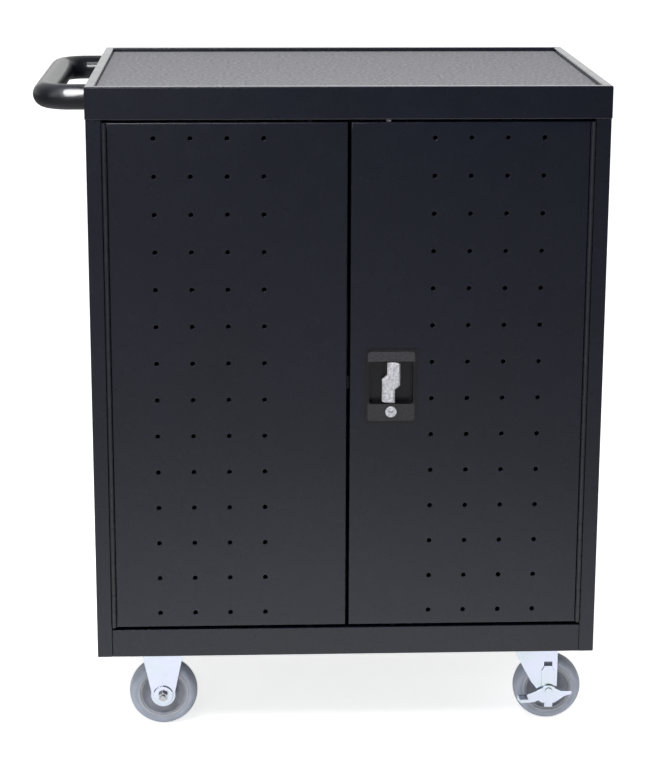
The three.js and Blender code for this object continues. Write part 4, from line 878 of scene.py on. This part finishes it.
def bushing(node, rod):
    """A bush in the lower flange of a door, round the end of a rod."""
    axis, radius = rod_end(rod)
    inner = radius + BUSH_GAP
    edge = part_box(node)[0].z
    bm = bmesh.new()
    barrel(bm, axis, edge - BUSH_DROP, edge + BUSH_RISE, inner + BUSH_WALL, inner)
    finish_piece(f"{node}_bush", bm, black_plastic, node)


def strike_cup(node, rod):
    """The cup under the floor of the cabinet that a rod shoots into."""
    axis, radius = rod_end(rod)
    inner = radius + STRIKE_GAP
    outer = inner + STRIKE_WALL
    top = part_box("base_pan")[1].z - SHEET - BUSH_GAP
    bottom = top - STRIKE_DEPTH
    profile = [(inner, bottom + STRIKE_WALL), (inner, top), (outer, top),
               (outer, bottom + KNUCKLE_ROUND), (outer - KNUCKLE_ROUND, bottom)]
    bm = bmesh.new()
    upright(bm, axis, profile, closed=False)
    finish_piece(f"{node}_strike_cup", bm, black_plastic, "cabinet")


def lock_plug():
    """Key plug: a barrel with a lip, a grooved face and a slot for the key."""
    low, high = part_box("lock_cylinder")
    centre = (low + high) / 2
    face = low.y
    radius = (high.x - low.x) / 2
    barrel_radius = radius - PLUG_LIP
    profile = [(barrel_radius, high.y), (barrel_radius, face + PLUG_LIP_BACK),
               (radius, face + PLUG_LIP_EDGE), (radius, face + PLUG_EASE), (radius - PLUG_EASE, face),
               (radius - PLUG_RING, face), (radius - GROOVE_OUTER, face + GROOVE_DEPTH),
               (radius - GROOVE_INNER, face + GROOVE_DEPTH), (radius - PLUG_FACE, face + PLUG_SUNK)]
    bm = bmesh.new()
    rows = []
    for r, y in profile:
        points = [(centre.x + r * a, y, centre.z + r * b) for a, b in circle(PLUG_SIDES, HALF_STEP)]
        rows.append([bm.verts.new(p) for p in points])
    for a, b in zip(rows, rows[1:]):
        strip(bm, a, b)
    bm.faces.new(rows[0])
    mouth = []
    for sx, sz in ((-1, -1), (1, -1), (1, 1), (-1, 1)):
        place = (centre.x + sx * KEYWAY_HALF_X, face + PLUG_SUNK, centre.z + sz * KEYWAY_HALF_Z)
        mouth.append(bm.verts.new(place))
    deep = [bm.verts.new((v.co.x, face + KEYWAY_DEPTH, v.co.z)) for v in mouth]
    fill_round(bm, rows[-1], mouth, centre.x, centre.z)
    strip(bm, mouth, deep)
    bm.faces.new(deep)
    finish_piece("key_plug", bm, satin_metal, "key_plug", ["lock_cylinder"])


def grommet():
    """Soft round grommet that grips both sides of the sheet."""
    low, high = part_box("cord_grommet")
    centre = (low + high) / 2
    half = (high.y - low.y) / 2
    flange = (high.x - low.x) / 2
    profile = [(GROMMET_BORE, GROMMET_MOUTH - half), (GROMMET_BORE + GROMMET_MOUTH, -half),
               (flange - GROMMET_CROWN[0], -half),
               (flange - GROMMET_SHOULDER[0], GROMMET_SHOULDER[1] - half),
               (flange, GROMMET_CROWN[1] - half), (flange, GROMMET_LIP - half),
               (GROMMET_NECK, GROMMET_LIP - half)]
    bm = bmesh.new()
    turn(bm, centre, mirrored(profile), GROMMET_SIDES)
    finish_piece("grommet", bm, black_plastic, "cabinet", ["cord_grommet"])


def hex_bolt(bm, centre):
    """A hexagon head with an eased end, hanging from a point."""
    rings = []
    for scale, drop in ((1, 0), (1, BOLT_SHOULDER), (BOLT_END, 1)):
        r = BOLT_CORNER * scale
        rings.append([centre + Vector((r * a, r * b, -BOLT_HEIGHT * drop)) for a, b in circle(BOLT_SIDES)])
    loft(bm, rings, capped=True)


def plate_bolts(caster, node):
    """The four bolts that hold a caster to its channel."""
    low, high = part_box(node)
    x, y = (low.x + high.x) / 2, (low.y + high.y) / 2
    bm = bmesh.new()
    for sx in (-1, 1):
        for sy in (-1, 1):
            hex_bolt(bm, Vector((x + sx * BOLT_X, y + sy * BOLT_Y, high.z - BOLT_PLATE)))
    finish_piece(f"{caster}_plate_bolts", bm, zinc, "cabinet")


def outlets(tier):
    """The contact slots of a power strip's outlets, in plates set into its pockets."""
    low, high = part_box(f"{tier}_power_strip")
    z = (low.z + high.z) / 2
    right = (low.x + high.x) / 2 + STRIP_HALF - SWITCH_ROOM - OUTLET_HALF
    blade = slot_hole(BLADE_WIDTH, BLADE_LENGTH)
    earth = round_hole(EARTH_RADIUS, EARTH_SIDES)
    bm = bmesh.new()
    for i in range(OUTLET_COUNT):
        x = right - i * OUTLET_PITCH
        holes = [(x + side * BLADE_SPREAD, z + BLADE_RISE, *BLADE_CELL, blade) for side in (-1, 1)]
        holes.append((x, z - EARTH_DROP, EARTH_CELL, EARTH_CELL, earth))
        x_edges = (x - OUTLET_PLATE_X, x + OUTLET_PLATE_X)
        z_edges = (z - OUTLET_PLATE_Z, z + OUTLET_PLATE_Z)
        Panel(bm, x_edges, z_edges, high.y - OUTLET_SET_BACK, -1, holes, ease=OUTLET_EASE).close_edge()
    finish_piece(f"{tier}_outlet_faces", bm, gloss_black, "cabinet")


def soften(node, material, width, segments=EASE_STEPS):
    """Eases the edges of a CAD solid and gives it its finish."""
    made = nodes[node]
    weld = made.modifiers.new("weld", "WELD")
    weld.merge_threshold = SOLID_WELD
    flat = made.modifiers.new("flat", "DECIMATE")
    flat.decimate_type = "DISSOLVE"
    flat.angle_limit = math.radians(FLAT_ANGLE)
    ease = made.modifiers.new("ease", "BEVEL")
    ease.width = width
    ease.segments = segments
    ease.limit_method = "ANGLE"
    ease.angle_limit = math.radians(EASE_ANGLE)
    ease.harden_normals = True
    made.data.materials.clear()
    made.data.materials.append(material)


# Cabinet
top_tray()
grip = push_handle()
side_panel("left_side_panel", -1)
side_panel("right_side_panel", 1)
for node in ("base_pan", "left_caster_channel", "right_caster_channel", "middle_shelf", "back_partition"):
    soften(node, paint, SHEET_EASE)
soften("top_mat", mat_rubber, SOFT_EASE, ROUND_STEPS)
grommet()

# Doors and hinges
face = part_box("left_door")[0].y
lock_low, lock_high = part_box("lock_pan")
seat = PAN_BORDER + PAN_LAP
lock_opening = (lock_low.x + seat, lock_high.x - seat, lock_low.z + seat, lock_high.z - seat)
door("left_door", face, 1, front_holes("left_door", -1))
door("right_door", face, 1, front_holes("right_door", 1), [lock_opening])
door("rear_door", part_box("rear_door")[1].y, -1, rear_holes())
bolt_tabs()
for name, rod in (("left_door", "left_bottom_bolt_pin"), ("right_door", "bottom_latch_rod_bar")):
    bushing(name, rod)
    strike_cup(name, rod)
hinge("left", "left_door", -1)
hinge("right", "right_door", 1)
hinge("rear", "rear_door", 1)
for name in ("left", "right", "rear"):
    soften(f"{name}_hinge_pin", hinge_steel, PIN_EASE)

# Lock and latch
soften("lock_pan", lock_plastic, MOULDED_EASE, ROUND_STEPS)
soften("turn_handle", satin_metal, CAST_EASE, ROUND_STEPS)
lock_plug()
soften("latch_cam", zinc, PLATED_EASE)
for node in ("top_latch_rod_bar", "bottom_latch_rod_bar"):
    soften(node, rod_plate, PLATED_EASE)
for node in ("left_top_bolt_pin", "left_bottom_bolt_pin"):
    soften(node, hinge_steel, PLATED_EASE)
for node in ("top_rod_guide", "bottom_rod_guide"):
    soften(node, black_plastic, CLIP_EASE)
soften("rear_lock_cylinder", satin_metal, PLATED_EASE)

# Racks and power strips
for tier in ("lower", "upper"):
    soften(f"{tier}_divider_rack", rack_plastic, MOULDED_EASE)
    soften(f"{tier}_power_strip", black_plastic, SOFT_EASE)
    soften(f"{tier}_power_switch", gloss_black, MOULDED_EASE, ROUND_STEPS)
    outlets(tier)

# Casters
for end in ("front", "rear"):
    wheel(f"{end}_left", f"{end}_left_wheel")
    wheel(f"{end}_right", f"{end}_right_wheel")
    for side in ("left", "right"):
        soften(f"{end}_{side}_caster_fork", zinc, PRESSED_EASE, ROUND_STEPS)
        soften(f"{end}_{side}_caster_axle", bolt_steel if side == "left" else zinc, MOULDED_EASE)
    soften(f"{end}_right_caster_plate", zinc, MOULDED_EASE)
    soften(f"{end}_right_caster_brake_lever", zinc, PRESSED_EASE, ROUND_STEPS)
    plate_bolts(f"{end}_left", f"{end}_left_caster_fork")
    plate_bolts(f"{end}_right", f"{end}_right_caster_plate")


# Floor, lights and camera

def backdrop():
    """A pale floor that reaches past the view."""
    bm = bmesh.new()
    bmesh.ops.create_grid(bm, x_segments=1, y_segments=1, size=FLOOR_HALF)
    mesh = bpy.data.meshes.new("floor")
    bm.to_mesh(mesh)
    bm.free()
    floor = bpy.data.objects.new("floor", mesh)
    bpy.context.scene.collection.objects.link(floor)
    made = bpy.data.materials.new("floor")
    made.use_nodes = True
    shader = made.node_tree.nodes["Principled BSDF"]
    shader.inputs["Roughness"].default_value = FLOOR_ROUGH
    shader.inputs["Emission Color"].default_value = (1, 1, 1, 1)
    tree = made.node_tree
    rays = tree.nodes.new("ShaderNodeLightPath")
    place = tree.nodes.new("ShaderNodeTexCoord")
    reach = tree.nodes.new("ShaderNodeVectorMath")
    reach.operation = "LENGTH"
    tree.links.new(place.outputs["Object"], reach.inputs[0])

    def fade(near, far):
        """A value that goes from one to another with the distance from the object."""
        node = tree.nodes.new("ShaderNodeMapRange")
        node.inputs["From Min"].default_value = SWEEP_NEAR
        node.inputs["From Max"].default_value = SWEEP_FAR
        node.inputs["To Min"].default_value = near
        node.inputs["To Max"].default_value = far
        tree.links.new(reach.outputs["Value"], node.inputs["Value"])
        return node.outputs["Result"]

    def times(first, second):
        """The product of two values."""
        node = tree.nodes.new("ShaderNodeMath")
        node.operation = "MULTIPLY"
        tree.links.new(first, node.inputs[0])
        tree.links.new(second, node.inputs[1])
        return node.outputs["Value"]

    # The floor's tone fades away from the object, a painted falloff of light, and near the object it glows
    # in mirrors alone, a painted reflection
    tree.links.new(fade(*FLOOR_TONE_PAINTED_FALLOFF), shader.inputs["Base Color"])
    glow = tree.nodes.new("ShaderNodeMath")
    tree.links.new(times(rays.outputs["Is Camera Ray"], fade(*FLOOR_GLOW)), glow.inputs[0])
    tree.links.new(times(rays.outputs["Is Glossy Ray"], fade(*FLOOR_PAINTED_REFLECTION)), glow.inputs[1])
    tree.links.new(glow.outputs["Value"], shader.inputs["Emission Strength"])
    mesh.materials.append(made)


def softbox(name, place, target, size, power, shows=True, spread=FULL_SPREAD):
    """A rectangular studio light aimed at a point, with its cone and whether gloss shows it."""
    data = bpy.data.lights.new(name, "AREA")
    data.shape = "RECTANGLE"
    data.size, data.size_y = size
    data.energy = power
    data.spread = math.radians(spread)
    lamp = bpy.data.objects.new(name, data)
    lamp.location = place
    aim = Vector(target) - Vector(place)
    lamp.rotation_euler = aim.to_track_quat("-Z", "Y").to_euler()
    lamp.visible_camera = False
    lamp.visible_glossy = shows
    bpy.context.scene.collection.objects.link(lamp)
    return lamp


def only_on(lamp, piece):
    """Lets a lamp show in the gloss of one piece alone."""
    lamp.visible_diffuse = False
    lit = bpy.data.collections.new(f"{lamp.name}_lights")
    lit.objects.link(piece)
    lamp.light_linking.receiver_collection = lit


def world_light():
    """A white backdrop behind the object that darkens towards the front of the studio."""
    world = bpy.data.worlds.new("studio")
    world.use_nodes = True
    tree = world.node_tree
    back = tree.nodes["Background"]
    place = tree.nodes.new("ShaderNodeTexCoord")
    apart = tree.nodes.new("ShaderNodeSeparateXYZ")
    tree.links.new(place.outputs["Generated"], apart.inputs["Vector"])
    depth = tree.nodes.new("ShaderNodeMapRange")
    depth.inputs["From Min"].default_value = STUDIO_DARK[0]
    depth.inputs["From Max"].default_value = STUDIO_WHITE[0]
    depth.inputs["To Min"].default_value = STUDIO_DARK[1]
    depth.inputs["To Max"].default_value = STUDIO_WHITE[1]
    tree.links.new(apart.outputs["Y"], depth.inputs["Value"])
    rays = tree.nodes.new("ShaderNodeLightPath")
    seen = tree.nodes.new("ShaderNodeMath")
    seen.operation = "MAXIMUM"
    tree.links.new(rays.outputs["Is Camera Ray"], seen.inputs[0])
    tree.links.new(rays.outputs["Is Transmission Ray"], seen.inputs[1])
    tone = tree.nodes.new("ShaderNodeMath")
    tone.operation = "MAXIMUM"
    tree.links.new(seen.outputs["Value"], tone.inputs[0])
    tree.links.new(depth.outputs["Result"], tone.inputs[1])
    tree.links.new(tone.outputs["Value"], back.inputs["Color"])
    bpy.context.scene.world = world


def camera():
    """The camera, where the photograph was taken from."""
    data = bpy.data.cameras.new("camera")
    data.lens = CAMERA_LENS
    data.shift_y = CAMERA_SHIFT
    made = bpy.data.objects.new("camera", data)
    made.location = CAMERA_PLACE
    made.rotation_euler = [math.radians(a) for a in CAMERA_TURN]
    bpy.context.scene.collection.objects.link(made)
    bpy.context.scene.camera = made


backdrop()
softbox("top_light", place=(0.0, -0.7, 2.7), target=(0, -0.6, 0), size=(2.4, 1.8), power=45, shows=False)
softbox("key_light", place=(-0.7, -2.0, 3.3), target=(0, -0.3, 0.2), size=(0.9, 0.9), power=40)
softbox("front_light", place=(-1.0, -3.2, 1.7), target=(0, 0, 0.2), size=(1.6, 0.8), power=20)
softbox("rim_light", place=(0.0, 2.8, 1.45), target=(0, 0, 0.95), size=(3.2, 0.7), power=5.0)
softbox("left_light", place=(-2.4, -1.6, 1.7), target=(0, 0, 0.6), size=(1.0, 1.6), power=12)
softbox("fill_light", place=(-0.9, -4.4, 0.3), target=(-0.2, 0, 0.85), size=(1.2, 0.5), power=0.5)
glint = softbox("glint_light", place=(-0.374, -0.289, 1.058), target=(-0.364, -0.187, 0.948),
                size=(0.075, 0.25), power=0.9, spread=90)
glint.data.shape = "ELLIPSE"
only_on(glint, grip)
softbox("right_light", place=(2.4, -1.2, 1.5), target=(0, 0, 0.5), size=(0.8, 1.6), power=4)
world_light()
camera()
bpy.context.scene.view_settings.view_transform = "Standard"
